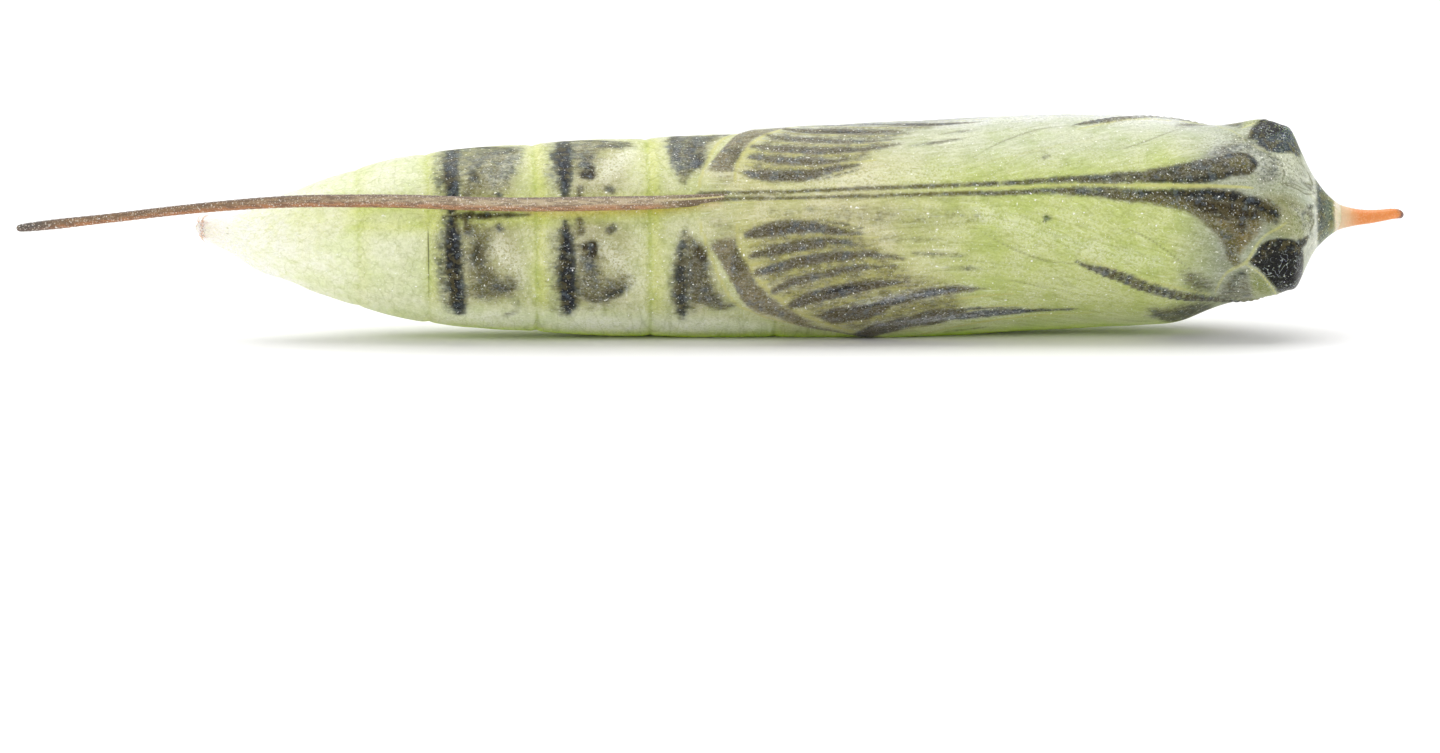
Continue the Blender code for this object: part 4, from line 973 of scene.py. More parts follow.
class Finish:
    """A material being built: short ways to add nodes and to join them."""

    def __init__(self, name):
        self.material = bpy.data.materials.new(name)
        self.material.use_nodes = True
        self.tree = self.material.node_tree
        self.shader = self.tree.nodes["Principled BSDF"]
        self.place = self.tree.nodes.new("ShaderNodeTexCoord").outputs["Object"]

    def put(self, socket, value):
        """Joins an output to a socket, or sets the socket to a plain value."""
        if isinstance(value, bpy.types.NodeSocket):
            self.tree.links.new(value, socket)
        elif hasattr(value, "__len__"):
            opaque = (1.0,) if len(value) == 3 and socket.type == "RGBA" else ()
            socket.default_value = (*value, *opaque)
        else:
            socket.default_value = value

    def value(self, name, output="Fac"):
        """A number from the piece's own attribute."""
        node = self.tree.nodes.new("ShaderNodeAttribute")
        node.attribute_name = name
        return node.outputs[output]

    def tint(self, name):
        """A colour from the piece's own attribute."""
        return self.value(name, "Color")

    def noise(self, size, detail=2.0, stretch=None, place=None):
        """Soft noise from 0 to 1 whose lumps are this many metres across, drawn out along axes by stretch, or
        in the unit of a place that is given."""
        node = self.tree.nodes.new("ShaderNodeTexNoise")
        node.inputs["Scale"].default_value = 1.0 / size
        node.inputs["Detail"].default_value = detail
        node.inputs["Roughness"].default_value = 0.6
        self.put(node.inputs["Vector"], self.stretched(stretch) if place is None else place)
        return node.outputs["Fac"]

    def stretched(self, stretch):
        """Object coordinates, or the same scaled along each axis."""
        if stretch is None:
            return self.place
        node = self.tree.nodes.new("ShaderNodeMapping")
        node.inputs["Scale"].default_value = stretch
        self.put(node.inputs["Vector"], self.place)
        return node.outputs["Vector"]

    def ridge(self, size, width, stretch=None):
        """Winding threads: 1 where soft noise passes its middle value, falling to 0 over a width."""
        middle = self.sum("ABSOLUTE", self.about_middle(self.noise(size, 1.0, stretch)))
        return self.step(middle, width, 0.0)

    def grains(self, size):
        """Distance from the nearest of many scattered grains, and a random number for each grain."""
        node = self.tree.nodes.new("ShaderNodeTexVoronoi")
        node.inputs["Scale"].default_value = 1.0 / size
        self.put(node.inputs["Vector"], self.place)
        split = self.tree.nodes.new("ShaderNodeSeparateColor")
        self.put(split.inputs["Color"], node.outputs["Color"])
        return node.outputs["Distance"], split.outputs["Red"]

    def green(self, colour):
        """How green a colour is, which here stands for how light it is."""
        node = self.tree.nodes.new("ShaderNodeSeparateColor")
        self.put(node.inputs["Color"], colour)
        return node.outputs["Green"]

    def times(self, first, second):
        """Two values multiplied."""
        return self.sum("MULTIPLY", first, second)

    def plus(self, first, second):
        """Two values added."""
        return self.sum("ADD", first, second)

    def about_middle(self, value):
        """How far noise is above its middle value."""
        return self.sum("SUBTRACT", value, 0.5)

    def sum(self, operation, first, second=0.0, third=0.0):
        """One step of arithmetic."""
        node = self.tree.nodes.new("ShaderNodeMath")
        node.operation = operation
        for socket, value in zip(node.inputs, (first, second, third)):
            self.put(socket, value)
        return node.outputs[0]

    def step(self, value, low, high, to_low=0.0, to_high=1.0):
        """A smooth step of value from low to high, onto to_low to to_high."""
        node = self.tree.nodes.new("ShaderNodeMapRange")
        node.interpolation_type = "SMOOTHSTEP"
        for socket, given in zip(node.inputs, (value, low, high, to_low, to_high)):
            self.put(socket, given)
        return node.outputs["Result"]

    def mix(self, amount, under, over, kind="MIX"):
        """One colour laid over another by an amount."""
        node = self.tree.nodes.new("ShaderNodeMix")
        node.data_type = "RGBA"
        node.blend_type = kind
        self.put(node.inputs["Factor"], amount)
        self.put(node.inputs["A"], under)
        self.put(node.inputs["B"], over)
        return node.outputs["Result"]

    def layers(self, base, rows, kind="MIX"):
        """Colours laid over a base in turn. Each row has a pattern, the low and high ends of its step, the
        strength there and the colour."""
        for pattern, low, high, strength, colour in rows:
            base = self.mix(self.step(pattern, low, high, 0.0, strength), base, colour, kind)
        return base

    def bump(self, height, depth, strength=1.0, under=None):
        """A bump of this depth in metres, from a height that runs from 0 to 1."""
        node = self.tree.nodes.new("ShaderNodeBump")
        node.inputs["Strength"].default_value = strength
        node.inputs["Distance"].default_value = depth
        self.put(node.inputs["Height"], height)
        if under is not None:
            self.put(node.inputs["Normal"], under)
        return node.outputs["Normal"]

    def wet(self, base, roughness, normal, translucency, depth_of_light, spread):
        """Sets the shader: a slightly waxy surface that lets some light in."""
        inputs = self.shader.inputs
        self.put(inputs["Base Color"], base)
        self.put(inputs["Roughness"], roughness)
        self.put(inputs["Normal"], normal)
        inputs["Subsurface Weight"].default_value = translucency
        inputs["Subsurface Radius"].default_value = spread
        inputs["Subsurface Scale"].default_value = depth_of_light
        return self.material


def dense(total, ends, extra):
    """Places from one end to the other, closer together in the parts (start, end, density) that are denser."""
    fine = np.linspace(ends[0], ends[1], 6000)
    density = np.ones(len(fine))
    for start, end, more in extra:
        density = np.where((fine >= start) & (fine < end), more, density)
    smooth = np.ones(61) / 61
    density = np.convolve(np.pad(density, 30, mode="edge"), smooth, mode="valid")
    run = np.concatenate([[0.0], np.cumsum((density[1:] + density[:-1]) / 2)])
    return np.interp(np.linspace(0, run[-1], total), run, fine)


def skin_grid(settings):
    """Stations by angles, closest together where the markings and the relief are finest."""
    near_rings = tuple((ring - 0.16, ring + 0.22, 2.4) for ring in RINGS[:5])
    levels = dense(settings.rows, (0.0, SKIN_END), ROWS_DENSITY + near_rings)
    half = dense(settings.columns // 2 + 1, (0.0, 180.0), COLUMNS_DENSITY)
    angles = np.concatenate([half, -half[-2:0:-1]])
    angles = np.where(angles == 180.0, -180.0, angles)
    angles = np.sort(angles)
    level, angle = np.meshgrid(levels, angles, indexing="ij")
    return Skin(slanted(level, np.abs(angle)), angle)


def blended_tints(skin, settings, table):
    """Colour at each point from (station, colour name) pairs, mixed smoothly between them."""
    stations = np.array([station for station, _ in table])
    tints = np.array([getattr(settings, name) for _, name in table])
    return np.stack([np.interp(skin.s, stations, tints[:, part]) for part in range(3)], axis=-1)


def laid_over(under, amount, colour):
    """A colour laid over the colours under it, by an amount at each point."""
    return under * (1 - amount[..., None]) + np.array(colour) * amount[..., None]


def rings_seen(skin, place, width):
    """A soft band round the body at this distance in front of each ring, fainter towards the tail."""
    found = np.zeros(skin.s.shape)
    for ring in RINGS:
        off = skin.s - slanted(ring, skin.turn) - place
        found = np.maximum(found, bell(off / width) * ease((ring - RING_PALE) / RING_FADE))
    return found


def skin_tint(skin, settings):
    """The smooth colour of the skin: belly colours, back colours, then the tints laid over them."""
    back = ease((skin.turn - BACK_FROM) / BACK_BLEND + 0.5)[..., None]
    tint = blended_tints(skin, settings, BELLY_TINTS) * (1 - back)
    tint += blended_tints(skin, settings, BACK_TINTS) * back
    behind_wing = 1 - skin.cover(settings.wing_ledge / MM)
    abdomen = (behind_wing * ease((skin.s - 14.0) / 1.0) * ease((130.0 - skin.turn) / 50.0))[..., None]
    tint = tint * (1 - abdomen) + np.array(settings.abdomen) * abdomen
    membrane = rings_seen(skin, MEMBRANE_PLACE, MEMBRANE_WIDTH) * behind_wing * (0.75 - 0.45 * back[..., 0])
    tint = laid_over(tint, membrane, settings.membrane)
    for side, name, strength, edge, points in TINT_STROKES:
        amount = strength * skin.mark(side, points, edge)
        if name == "wing_shade":
            amount = amount * (1 - behind_wing)
        if name in ("tongue_side", "smoke"):
            amount = amount * behind_wing
        tint = laid_over(tint, amount, getattr(settings, name))
    fold = rings_seen(skin, 0.0, FOLD_LINE) * behind_wing * (0.6 - 0.25 * back[..., 0])
    return laid_over(tint, fold, settings.fold)


def skin_ink(skin, settings):
    """How much dark pigment each point has, and its colour: each stroke is laid over those before it."""
    ink = np.zeros(skin.s.shape)
    tint = np.zeros(skin.s.shape + (3,)) + np.array(settings.ink_grey)
    cover = skin.cover(settings.wing_ledge / MM)
    for table, where in ((ABDOMEN_MARKS, 1 - cover), (WING_MARKS, cover), (HEAD_MARKS, 1.0)):
        for side, name, strength, edge, points in table:
            laid = skin.mark(side, points, edge) * where
            tint = laid_over(tint, ease(laid * strength / np.maximum(ink, 0.05)), getattr(settings, name))
            ink = np.maximum(ink, strength * laid)
    feeler = skin.stroke("both", FEELER_LINE, 0.12, FEELER_BEAD)
    tint = laid_over(tint, feeler, settings.ink_grey)
    ink = np.maximum(ink, feeler)
    brow = ease((skin.s - BROW_RING[0]) / BROW_RING_EDGE) * ease((BROW_RING[1] - skin.s) / BROW_RING_EDGE)
    return np.maximum(ink, brow), laid_over(tint, brow, settings.ink_eye)


def skin_colour(finish, settings, patterns):
    """The skin without its marks: uneven green, waxy bloom with painted sheen, fine creases and pale veins."""
    grain, fine, cloud, blotch, fibre, frost, thread = patterns
    bloom_and_sheen = finish.value("bloom_and_sheen")
    streak = finish.noise(STREAK_SIZE * MM, 2.0, (0.16, 1.0, 1.0))
    slow = finish.noise(CREASE_SIZE, 1.5, place=finish.tint("flow"))
    crease = finish.sum("ABSOLUTE", finish.about_middle(slow))
    base = finish.layers(finish.tint("skin_tint"), (
        (cloud, 0.38, 0.64, 0.30, (0.80, 0.92, 0.58)),
        (streak, 0.46, 0.62, 0.16, (0.82, 0.88, 0.58)),
        (blotch, 0.36, 0.66, 0.12, (0.74, 0.74, 0.60)),
        (thread, 0.42, 0.62, 0.32, (0.68, 0.70, 0.54)),
        (fibre, 0.40, 0.62, 0.20, (0.66, 0.68, 0.48)),
        (fine, 0.56, 0.40, 0.18, (0.62, 0.63, 0.48)),
    ), "MULTIPLY")
    # Real waxy bloom and painted sheen of the top light, laid into the colour together
    bloom_and_sheen_share = finish.sum("MULTIPLY_ADD", bloom_and_sheen, 0.75, finish.step(cloud, 0.60, 0.36, 0.05, 0.22))
    bloom = finish.times(bloom_and_sheen_share, finish.step(fine, 0.36, 0.60, 0.15, 1.0))
    bloom = finish.sum("MAXIMUM", bloom, finish.times(frost, finish.plus(bloom_and_sheen_share, 0.10)))
    bloom = finish.sum("MAXIMUM", bloom, finish.step(thread, 0.42, 0.28, 0.0, 0.40))
    base = finish.mix(bloom, base, settings.bloom_and_sheen)
    base = finish.layers(base, ((crease, 0.030, 0.0, 0.34, (0.60, 0.62, 0.40)),), "MULTIPLY")
    return finish.layers(base, ((finish.value("vein"), 0.20, 0.80, 0.66, settings.vein),))


def mark_cover(finish, ink, patterns):
    """How much of the skin the marks hide: their edges break up into fibres and fine specks."""
    grain, fine, cloud, blotch, fibre, frost, thread = patterns
    frayed = finish.sum("SUBTRACT", finish.plus(fibre, blotch), 1.0)
    ragged = finish.sum("MULTIPLY_ADD", frayed, 1.15, ink)
    spread = finish.sum("MULTIPLY_ADD", finish.about_middle(grain), 0.7, ragged)
    beyond = finish.sum("SUBTRACT", finish.step(spread, 0.12, 0.90), ink)
    cover = finish.sum("MULTIPLY_ADD", beyond, 0.50, ink)
    return finish.times(cover, finish.step(ink, 0.0, 0.12))


def mark_colour(finish, gloss, patterns):
    """The marks' own colour, mottled with rust and steel blue and dusted with specks, except on the eyes."""
    grain, fine, cloud, blotch, fibre, frost, thread = patterns
    ink_tint = finish.tint("ink_tint")
    depth = finish.sum(
        "MULTIPLY_ADD", finish.step(grain, 0.38, 0.58), 0.35, finish.step(blotch, 0.36, 0.60, 0.50, 0.80)
    )
    pigment = finish.mix(1.0, ink_tint, depth, "MULTIPLY")
    mottle = finish.noise(MOTTLE_SIZE * MM, 2.4)
    matt = finish.step(gloss, 0.8, 0.0)
    for low, high, strength, tone in ((0.51, 0.58, 0.58, RUST_TONE), (0.45, 0.38, 0.50, STEEL_TONE)):
        pigment = finish.mix(finish.times(matt, finish.step(mottle, low, high, 0.0, strength)), pigment, tone)
    pale = finish.step(finish.green(ink_tint), 0.004, 0.06)
    speck = finish.times(finish.step(fine, 0.50, 0.66), finish.step(gloss, 0.8, 0.0, 0.1, 1.0))
    speck = finish.sum("MAXIMUM", speck, finish.times(frost, finish.step(gloss, 0.8, 0.0, 0.0, 0.7)))
    speck = finish.sum("MAXIMUM", speck, finish.step(thread, 0.46, 0.30, 0.0, 0.8))
    return finish.mix(finish.times(speck, finish.sum("MULTIPLY_ADD", pale, 0.20, 0.04)), pigment, SPECK_TONE)


def skin_material(settings):
    """Translucent green skin with speckled dark pigment, pale veins, thin seams, bloom with painted sheen,
    bright grains with painted glints, and painted reflections on the eyes.
    """
    finish = Finish("pupal_skin")
    ink = finish.value("ink")
    bloom_and_sheen = finish.value("bloom_and_sheen")
    gloss = finish.value("gloss")
    grain = finish.noise(settings.grain_size, 2.5)
    fine = finish.noise(settings.grain_size * FINE_SHARE, 1.5)
    cloud = finish.noise(CLOUD_SIZE * MM, 3.0)
    blotch = finish.noise(BLOTCH_SIZE * MM, 2.0)
    fibre = finish.noise(FIBRE_SIZE * MM, 2.5, (0.4, 1.0, 1.0))
    frost = finish.ridge(FROST_SIZE * MM, 0.055, (0.6, 1.0, 1.0))
    thread = finish.noise(THREAD_SIZE, 3.0, place=finish.tint("flow"))
    patterns = (grain, fine, cloud, blotch, fibre, frost, thread)
    base = skin_colour(finish, settings, patterns)
    base = finish.mix(mark_cover(finish, ink, patterns), base, mark_colour(finish, gloss, patterns))
    # A grey haze over the strongest bloom and painted sheen
    dust_and_sheen_haze = finish.step(finish.plus(fibre, grain), 0.86, 1.12, 0.12, 0.62)
    base = finish.mix(finish.times(finish.step(bloom_and_sheen, 0.55, 1.0), dust_and_sheen_haze), base, HAZE_TONE)
    base = finish.layers(base, ((finish.value("seam"), 0.20, 0.80, 0.80, settings.seam),))
    many = finish.sum("MULTIPLY_ADD", bloom_and_sheen, 0.03, finish.times(gloss, -0.05))
    many = finish.sum("MULTIPLY_ADD", ink, 0.015, many)
    # Painted glints, with white wax grains: bright specks laid into the colour
    for size, level, strength in GLINTS:
        glint = finish.plus(finish.noise(size * MM, 0.0), many)
        base = finish.layers(base, ((glint, level, level + 0.05, strength, GLINT_TONE),))
    # Painted reflections: white squiggles laid into the colour of the glossy eyes; the same squiggles also
    # raise the bump
    shiny = finish.times(gloss, finish.step(blotch, 0.42, 0.56))
    squiggle_glint = finish.times(finish.ridge(SQUIGGLE_SIZE * MM, 0.024), shiny)
    base = finish.mix(finish.times(squiggle_glint, 0.66), base, SQUIGGLE_GLINT_TONE)
    height = finish.sum("MULTIPLY_ADD", fine, 0.35, finish.sum("MULTIPLY_ADD", grain, 0.65, squiggle_glint))
    normal = finish.bump(height, 0.018 * MM, 0.8, finish.bump(finish.plus(fibre, frost), 0.02 * MM, 0.5))
    roughness = finish.sum("MULTIPLY_ADD", gloss, -0.14, finish.step(fine, 0.3, 0.7, 0.36, 0.52))
    light = (settings.translucency, settings.depth_of_light, SKIN_SPREAD)
    material = finish.wet(base, roughness, normal, *light)
    finish.shader.inputs["Specular IOR Level"].default_value = 0.18
    finish.shader.inputs["Coat Weight"].default_value = 0.05
    finish.shader.inputs["Coat Roughness"].default_value = 0.22
    return material


class CHRYSALIS_OT_skin(bpy.types.Operator):
    """Builds the body's skin with its rings, wing cases, feelers, eyes and markings"""

    bl_idname = "chrysalis.skin"
    bl_label = "Skin"

    def execute(self, context):
        settings = context.scene.chrysalis_skin
        skin = skin_grid(settings)
        v, w = skin_point(skin, settings)
        ends = [lying(s, v[row].mean(), w[row].mean()) for s, row in ((-0.05, 0), (SKIN_END + 0.05, -1))]
        mesh = rod_mesh("chrysalis_skin", rested(lying(skin.s, v, w)), ends)
        ink, ink_tint = skin_ink(skin, settings)
        bloom_and_sheen = np.zeros(skin.s.shape)
        for side, strength, edge, points in BLOOM_AND_SHEEN_STROKES:
            bloom_and_sheen = np.maximum(bloom_and_sheen, strength * skin.stroke(side, points, edge))
        gloss = np.maximum(
            skin.stroke("both", ((32.0, 60, 0.5), (32.5, 60, 0.6), (32.6, 84, 0.3)), 0.3),
            0.6 * skin.stroke("both", ((31.5, 60, 0.2), (31.9, 86, 0.2)), 0.2),
        )
        for name, values in (
            ("ink", ink), ("bloom_and_sheen", bloom_and_sheen), ("gloss", gloss),
            ("vein", lines(skin, PALE_LINES)), ("seam", lines(skin, DARK_LINES)),
        ):
            add_value(mesh, name, np.concatenate([values.ravel(), [values[0].mean(), values[-1].mean()]]))
        way = flow(skin, skin.cover(settings.wing_ledge / MM))
        for name, values in (("skin_tint", skin_tint(skin, settings)), ("ink_tint", ink_tint), ("flow", way)):
            ends = values[[0, -1]].mean(axis=1)
            add_colour(mesh, name, np.concatenate([values.reshape(-1, 3), ends]))
        finish_piece("chrysalis_skin", mesh, skin_material(settings))
        return {"FINISHED"}


def rod_rings(line, radius, angle, guide):
    """Rings round a line of (s, v, w) points: at each a circle square to the line, with its radius shaped
    (row, side). Its angle is counted from the guide, a direction that the line never follows."""
    ahead = unit(np.gradient(line, axis=0))
    guide = np.array(guide)
    first = unit(guide - ahead * (ahead @ guide)[:, None])
    second = np.cross(ahead, first)
    turn = np.radians(angle)[None, :, None]
    ring = first[:, None] * np.cos(turn) + second[:, None] * np.sin(turn)
    return line[:, None] + radius[..., None] * ring


def tongue_material(settings):
    """Horny skin: pinkish brown, dark on the right and rufous on the left, with flecks, painted glints and a
    grey tip.
    """
    finish = Finish("tongue_skin")
    across = finish.value("across")
    run = finish.value("run")
    grain = finish.noise(0.05 * MM, 2.0)
    streak = finish.noise(0.07 * MM, 2.0, (0.15, 1.0, 1.0))
    base = finish.layers(settings.brown, (
        (run, 0.20, 0.72, 1.0, settings.pale),
        (across, -0.25, -0.85, 0.75, settings.rufous),
        (across, 0.20, 0.70, 0.85, settings.edge),
        (streak, 0.42, 0.62, 0.62, settings.edge),
        (run, 0.84, 0.92, 0.95, settings.gap),
    ))
    sides = finish.step(finish.sum("ABSOLUTE", across), 0.04, 0.30)
    split = finish.times(finish.step(run, 0.84, 0.90), sides)
    base = finish.mix(finish.times(split, 0.9), base, settings.edge)
    base = finish.layers(base, (
        (run, 0.075, 0.02, 0.85, settings.tip),
        (grain, 0.54, 0.70, 0.80, TONGUE_FLECK),
    ))
    # Painted glints: small white specks laid into the case's colour
    far, lot = finish.grains(0.10 * MM)
    glint = finish.times(finish.step(far, 0.26, 0.12), finish.sum("LESS_THAN", lot, 0.30))
    base = finish.mix(finish.times(glint, 0.7), base, TONGUE_GLINT)
    normal = finish.bump(grain, 0.012 * MM, 0.8)
    finish.shader.inputs["Specular IOR Level"].default_value = 0.3
    roughness = finish.step(grain, 0.3, 0.7, 0.40, 0.58)
    return finish.wet(base, roughness, normal, 0.25, 0.25 * MM, TONGUE_SPREAD)


class CHRYSALIS_OT_tongue(bpy.types.Operator):
    """Builds the tongue case, a long rod with a seam, free past the tail"""

    bl_idname = "chrysalis.tongue"
    bl_label = "Tongue case"

    def execute(self, context):
        settings = context.scene.chrysalis_tongue
        first, last = TONGUE_LINE[0][0], TONGUE_LINE[-1][0]
        round_tip = first + np.array([0.0, 0.02, 0.05, 0.10])
        s = np.concatenate([round_tip, np.linspace(first + 0.15, last, settings.rows)])
        angle = np.arange(settings.sides) * (360.0 / settings.sides)
        turn = np.where(angle > 180, angle - 360, angle)[None, :]
        radius = along(TONGUE_RADIUS, s)[:, None] * np.ones_like(turn)
        radius = radius - settings.seam_depth / MM * bell(turn / 16.0) * ease((s[:, None] - first) / 0.8)
        ripple = np.sin(s[:, None] * 2 * math.pi / 0.23) * ease((s[:, None] - first) / 0.5)
        radius = radius + settings.wrinkle / MM * ripple
        line = np.stack([s, along(TONGUE_LINE, s), along(TONGUE_SWING, s)], axis=1)
        at = rod_rings(line, radius, angle, (0.0, 1.0, 0.0))
        ends = [laid(at[row].mean(axis=0) + (step, 0.0, 0.0)) for row, step in ((0, -0.012), (-1, 0.02))]
        mesh = rod_mesh("tongue_case", laid(at), ends)
        across = np.sin(np.radians(turn)) * np.ones((len(s), 1))
        run = ((s - first) / (last - first))[:, None] * np.ones_like(turn)
        add_value(mesh, "across", np.concatenate([across.ravel(), [0.5, 0.5]]))
        add_value(mesh, "run", np.concatenate([run.ravel(), [0.0, 1.0]]))
        finish_piece("tongue_case", mesh, tongue_material(settings))
        return {"FINISHED"}


def horn_material(settings):
    """Cream at the base, orange along the shaft and dark at the hooked tip, with a fine grain."""
    finish = Finish("horn_skin")
    run = finish.value("run")
    grain = finish.noise(0.045 * MM, 2.0)
    cloud = finish.noise(0.25 * MM, 2.0)
    edge = finish.sum("MULTIPLY_ADD", finish.about_middle(cloud), 0.10, run)
    base = finish.layers(settings.cream, (
        (edge, 0.20, 0.46, 1.0, settings.orange),
        (edge, 0.84, 0.93, 1.0, settings.tip),
        (edge, 0.115, 0.075, 0.9, HORN_FOOT),
        (grain, 0.50, 0.72, 0.35, HORN_FLECK),
    ))
    normal = finish.bump(grain, 0.012 * MM, 0.9)
    roughness = finish.step(grain, 0.3, 0.7, 0.30, 0.45)
    return finish.wet(base, roughness, normal, 0.35, 0.3 * MM, HORN_SPREAD)


class CHRYSALIS_OT_horn(bpy.types.Operator):
    """Builds the brow horn, a tapering rod whose tip hooks towards the back"""

    bl_idname = "chrysalis.horn"
    bl_label = "Brow horn"

    def execute(self, context):
        settings = context.scene.chrysalis_horn
        points = np.array(HORN_POINTS)
        run = np.concatenate([[0.0], np.cumsum(np.linalg.norm(np.diff(points[:, :3], axis=0), axis=1))])
        run /= run[-1]
        at_run = np.linspace(0.0, 1.0, settings.rows)
        s, v, w, radius = (along(np.stack([run, values], axis=1), at_run) for values in points.T)
        angle = np.arange(settings.sides) * (360.0 / settings.sides)
        turn = np.radians(angle)[None, :]
        down = at_run[:, None]
        rough = np.sin(down * 190.0 + 3.0 * np.sin(2 * turn)) * np.sin(5 * turn + down * 60.0)
        wide = radius[:, None] + settings.roughness_height / MM * rough * ease((down - 0.15) / 0.2)
        rings = rod_rings(np.stack([s, v, w], axis=1), wide, angle - 90.0, (0.0, 0.0, 1.0))
        ends = [laid(rings[row].mean(axis=0)) for row in (0, -1)]
        mesh = rod_mesh("brow_horn", laid(rings), ends)
        value = at_run[:, None] * np.ones_like(turn)
        add_value(mesh, "run", np.concatenate([value.ravel(), [0.0, 1.0]]))
        finish_piece("brow_horn", mesh, horn_material(settings))
        return {"FINISHED"}


def small_material(name, size, colour, fleck, high, strength, translucency, depth):
    """Finely grained skin of a small piece: a colour with flecks, that lets some light in."""
    finish = Finish(name)
    grain = finish.noise(size * MM, 2.0)
    base = finish.layers(colour, ((grain, 0.4, high, strength, fleck),))
    roughness = finish.step(grain, 0.3, 0.7, 0.35, 0.5)
    normal = finish.bump(grain, 0.006 * MM)
    return finish.wet(base, roughness, normal, translucency, depth * MM, SMALL_SPREAD)


class CHRYSALIS_OT_bristles(bpy.types.Operator):
    """Builds the tuft of hooked bristles at the tip of the tail"""

    bl_idname = "chrysalis.bristles"
    bl_label = "Tail bristles"

    def execute(self, context):
        settings = context.scene.chrysalis_tail
        count = settings.bristles
        turn = np.arange(count) * math.radians(137.5)
        spread = np.sqrt((np.arange(count) + 0.5) / count)
        t = np.linspace(0.0, 1.0, 5)[None, :]
        lean = (0.35 + 1.05 * spread)[:, None] + 0.9 * t**2
        reach = settings.bristle_length / MM * (0.75 + 0.25 * np.cos(7 * turn))[:, None] * t
        root = (0.05 + 0.13 * spread)[:, None]
        out = root + reach * np.sin(lean)
        s = 0.10 + 0.10 * spread[:, None] - reach * np.cos(lean)
        v = 2.42 + out * np.cos(turn)[:, None]
        w = out * np.sin(turn)[:, None]
        line = np.stack([s, v, w], axis=-1)
        ahead = unit(np.gradient(line, axis=1))
        tangent = np.stack([np.zeros(count), -np.sin(turn), np.cos(turn)], axis=-1)[:, None]
        tangent = tangent * np.ones_like(line)
        other = np.cross(tangent, ahead)
        angle = (np.arange(6) * math.radians(60.0))[None, None, :, None]
        radius = (settings.bristle_radius / MM * (1.0 - 0.8 * t))[..., None, None]
        circle = other[:, :, None] * np.cos(angle) + tangent[:, :, None] * np.sin(angle)
        rings = line[:, :, None] + radius * circle
        rings = laid(rings)
        mesh = rods_mesh("tail_bristles", rings, rings[:, [0, -1]].mean(axis=2))
        material = small_material("bristle_skin", 0.06, settings.bristle, BRISTLE_FLECK, 0.65, 0.5, 0.6, 0.3)
        finish_piece("tail_bristles", mesh, material)
        return {"FINISHED"}


class CHRYSALIS_OT_holes(bpy.types.Operator):
    """Builds the breathing holes, small dark rims along both sides of the back"""

    bl_idname = "chrysalis.holes"
    bl_label = "Breathing holes"

    def execute(self, context):
        settings = context.scene.chrysalis_tail
        skin_settings = context.scene.chrysalis_skin
        s, turn = np.array(SPIRACLES, float).T
        s = np.concatenate([s, s])
        angle = np.concatenate([turn, -turn])
        height = settings.hole_height / MM
        profile = np.array([(1.0, -0.6), (1.0, 0.3), (0.8, 0.9), (0.55, 1.0), (0.35, 0.6)])
        out = profile[:, 0] * settings.hole_radius / MM
        lift = profile[:, 1] * height
        round_rim = np.arange(12) * math.radians(30.0)
        centre = lying(s, *skin_point(Skin(s, angle), skin_settings))
        ahead = lying(s + 0.05, *skin_point(Skin(s + 0.05, angle), skin_settings)) - centre
        beside = lying(s, *skin_point(Skin(s, angle + 1.0), skin_settings)) - centre
        ahead = unit(ahead)
        outwards = unit(np.cross(ahead, beside))
        beside = np.cross(outwards, ahead)
        ring = ahead[:, None, None] * np.cos(round_rim)[None, None, :, None]
        ring = ring - beside[:, None, None] * np.sin(round_rim)[None, None, :, None]
        rings = out[None, :, None, None] * ring + lift[None, :, None, None] * outwards[:, None, None]
        rings = centre[:, None, None] + MM * rings
        ends = np.stack([centre + MM * lift[0] * outwards, centre + MM * 0.2 * height * outwards], axis=1)
        mesh = rods_mesh("breathing_holes", rings, ends)
        material = small_material("breathing_hole_skin", 0.03, settings.hole, HOLE_FLECK, 0.7, 0.4, 0.1, 0.1)
        finish_piece("breathing_holes", mesh, material)
        return {"FINISHED"}


def area_light(name, place, aim, side, power):
    """A square soft light at a place in metres, facing a point."""
    data = bpy.data.lights.new(name, "AREA")
    data.shape = "SQUARE"
    data.size = side
    data.energy = power
    light = bpy.data.objects.new(name, data)
    light.location = place
    along_view = np.array(aim) - np.array(place)
    light.rotation_mode = "QUATERNION"
    light.rotation_quaternion = facing(along_view)
    bpy.context.scene.collection.objects.link(light)
    return light


def facing(direction):
    """The turn that points a camera or light, which look along -Z, in this direction, with +Y up."""
    return Vector(direction.tolist()).to_track_quat("-Z", "Y")


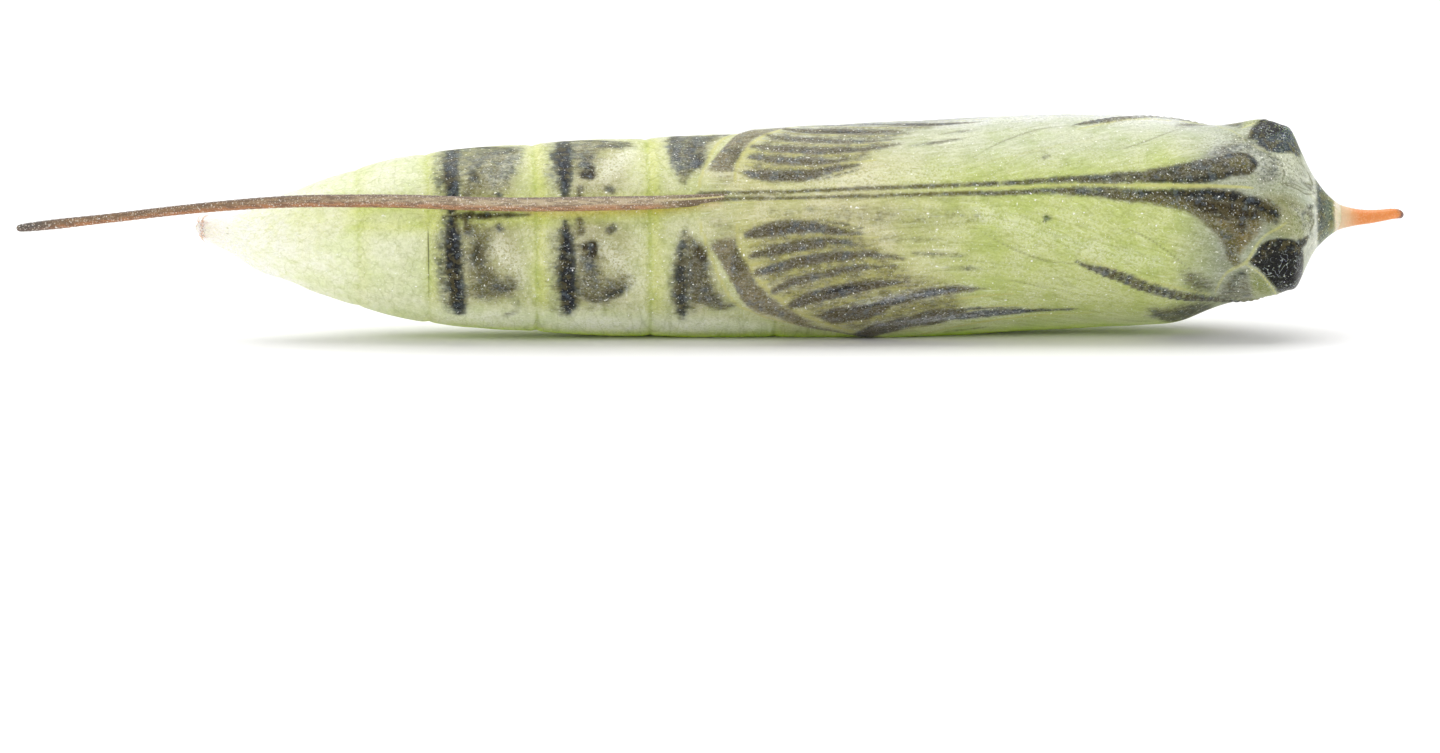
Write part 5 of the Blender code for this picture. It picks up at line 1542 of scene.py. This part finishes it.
class CHRYSALIS_OT_studio(bpy.types.Operator):
    """Builds the pale floor, the white surroundings, the soft lights and the camera"""

    bl_idname = "chrysalis.studio"
    bl_label = "Studio"

    def execute(self, context):
        settings = context.scene.chrysalis_studio
        scene = context.scene
        half = settings.floor_side / 2
        mesh = bpy.data.meshes.new("studio_floor")
        corners = [(-half, -half, 0), (half, -half, 0), (half, half, 0), (-half, half, 0)]
        mesh.from_pydata(corners, [], [(0, 1, 2, 3)])
        mesh.update()
        finish = Finish("studio_paper")
        grain = finish.noise(0.4 * MM, 2.0)
        base = finish.mix(finish.step(grain, 0.3, 0.7, 0.0, 0.02), settings.floor_colour, (0.8, 0.8, 0.8))
        finish.put(finish.shader.inputs["Base Color"], base)
        finish.shader.inputs["Roughness"].default_value = 0.75
        finish.shader.inputs["Specular IOR Level"].default_value = 0.15
        mesh.materials.append(finish.material)
        floor = bpy.data.objects.new("studio_floor", mesh)
        scene.collection.objects.link(floor)
        world = bpy.data.worlds.new("studio_sky")
        world.use_nodes = True
        sky = world.node_tree.nodes["Background"]
        sky.inputs["Color"].default_value = (1.0, 1.0, 1.0, 1.0)
        sky.inputs["Strength"].default_value = settings.sky_strength
        scene.world = world
        scene.view_settings.view_transform = "Standard"
        top = (0.0, 0.06, settings.top_height)
        area_light("top_light", top, (0.0, 0.0, 0.0), settings.top_side, settings.top_power)
        front = (-0.08, -0.26, 0.16)
        area_light("front_light", front, (0.0, 0.0, 0.003), settings.front_side, settings.front_power)
        angle = math.radians(CAMERA_ANGLE)
        view = np.array([0.0, math.cos(angle), -math.sin(angle)])
        across, up = PICTURE_CENTRE
        aim = np.array([across, up * math.sin(angle), up * math.cos(angle)]) * MM
        camera = bpy.data.objects.new("camera", bpy.data.cameras.new("camera"))
        camera.data.lens = settings.lens
        camera.data.sensor_width = 36.0
        camera.data.clip_start = 0.01
        camera.data.clip_end = 10.0
        camera.location = aim - view * settings.camera_distance
        camera.rotation_mode = "QUATERNION"
        camera.rotation_quaternion = facing(view)
        scene.collection.objects.link(camera)
        scene.camera = camera
        return {"FINISHED"}


class CHRYSALIS_PT_sidebar(bpy.types.Panel):
    """Lists the pieces of the chrysalis and their settings"""

    bl_label = "Skipper chrysalis"
    bl_space_type = "VIEW_3D"
    bl_region_type = "UI"
    bl_category = "Chrysalis"

    def draw(self, context):
        for operators, name in PIECES:
            box = self.layout.box()
            for operator in operators:
                box.operator(operator.bl_idname)
            settings = getattr(context.scene, name)
            for prop in settings.bl_rna.properties:
                if prop.identifier not in ("rna_type", "name"):
                    box.prop(settings, prop.identifier)


PIECES = (
    ((CHRYSALIS_OT_skin,), "chrysalis_skin"),
    ((CHRYSALIS_OT_tongue,), "chrysalis_tongue"),
    ((CHRYSALIS_OT_horn,), "chrysalis_horn"),
    ((CHRYSALIS_OT_bristles, CHRYSALIS_OT_holes), "chrysalis_tail"),
    ((CHRYSALIS_OT_studio,), "chrysalis_studio"),
)
GROUPS = {
    "chrysalis_skin": ChrysalisSkin,
    "chrysalis_tongue": ChrysalisTongue,
    "chrysalis_horn": ChrysalisHorn,
    "chrysalis_tail": ChrysalisTail,
    "chrysalis_studio": ChrysalisStudio,
}
CLASSES = (
    *GROUPS.values(),
    *(operator for operators, _ in PIECES for operator in operators),
    CHRYSALIS_PT_sidebar,
)


def register():
    for each in CLASSES:
        bpy.utils.register_class(each)
    for name, group in GROUPS.items():
        setattr(bpy.types.Scene, name, PointerProperty(type=group))


def unregister():
    for name in GROUPS:
        delattr(bpy.types.Scene, name)
    for each in reversed(CLASSES):
        bpy.utils.unregister_class(each)


def main():
    """Builds every piece and the studio."""
    register()
    bpy.ops.chrysalis.skin()
    bpy.ops.chrysalis.tongue()
    bpy.ops.chrysalis.horn()
    bpy.ops.chrysalis.bristles()
    bpy.ops.chrysalis.holes()
    bpy.ops.chrysalis.studio()


if __name__ == "__main__":
    main()
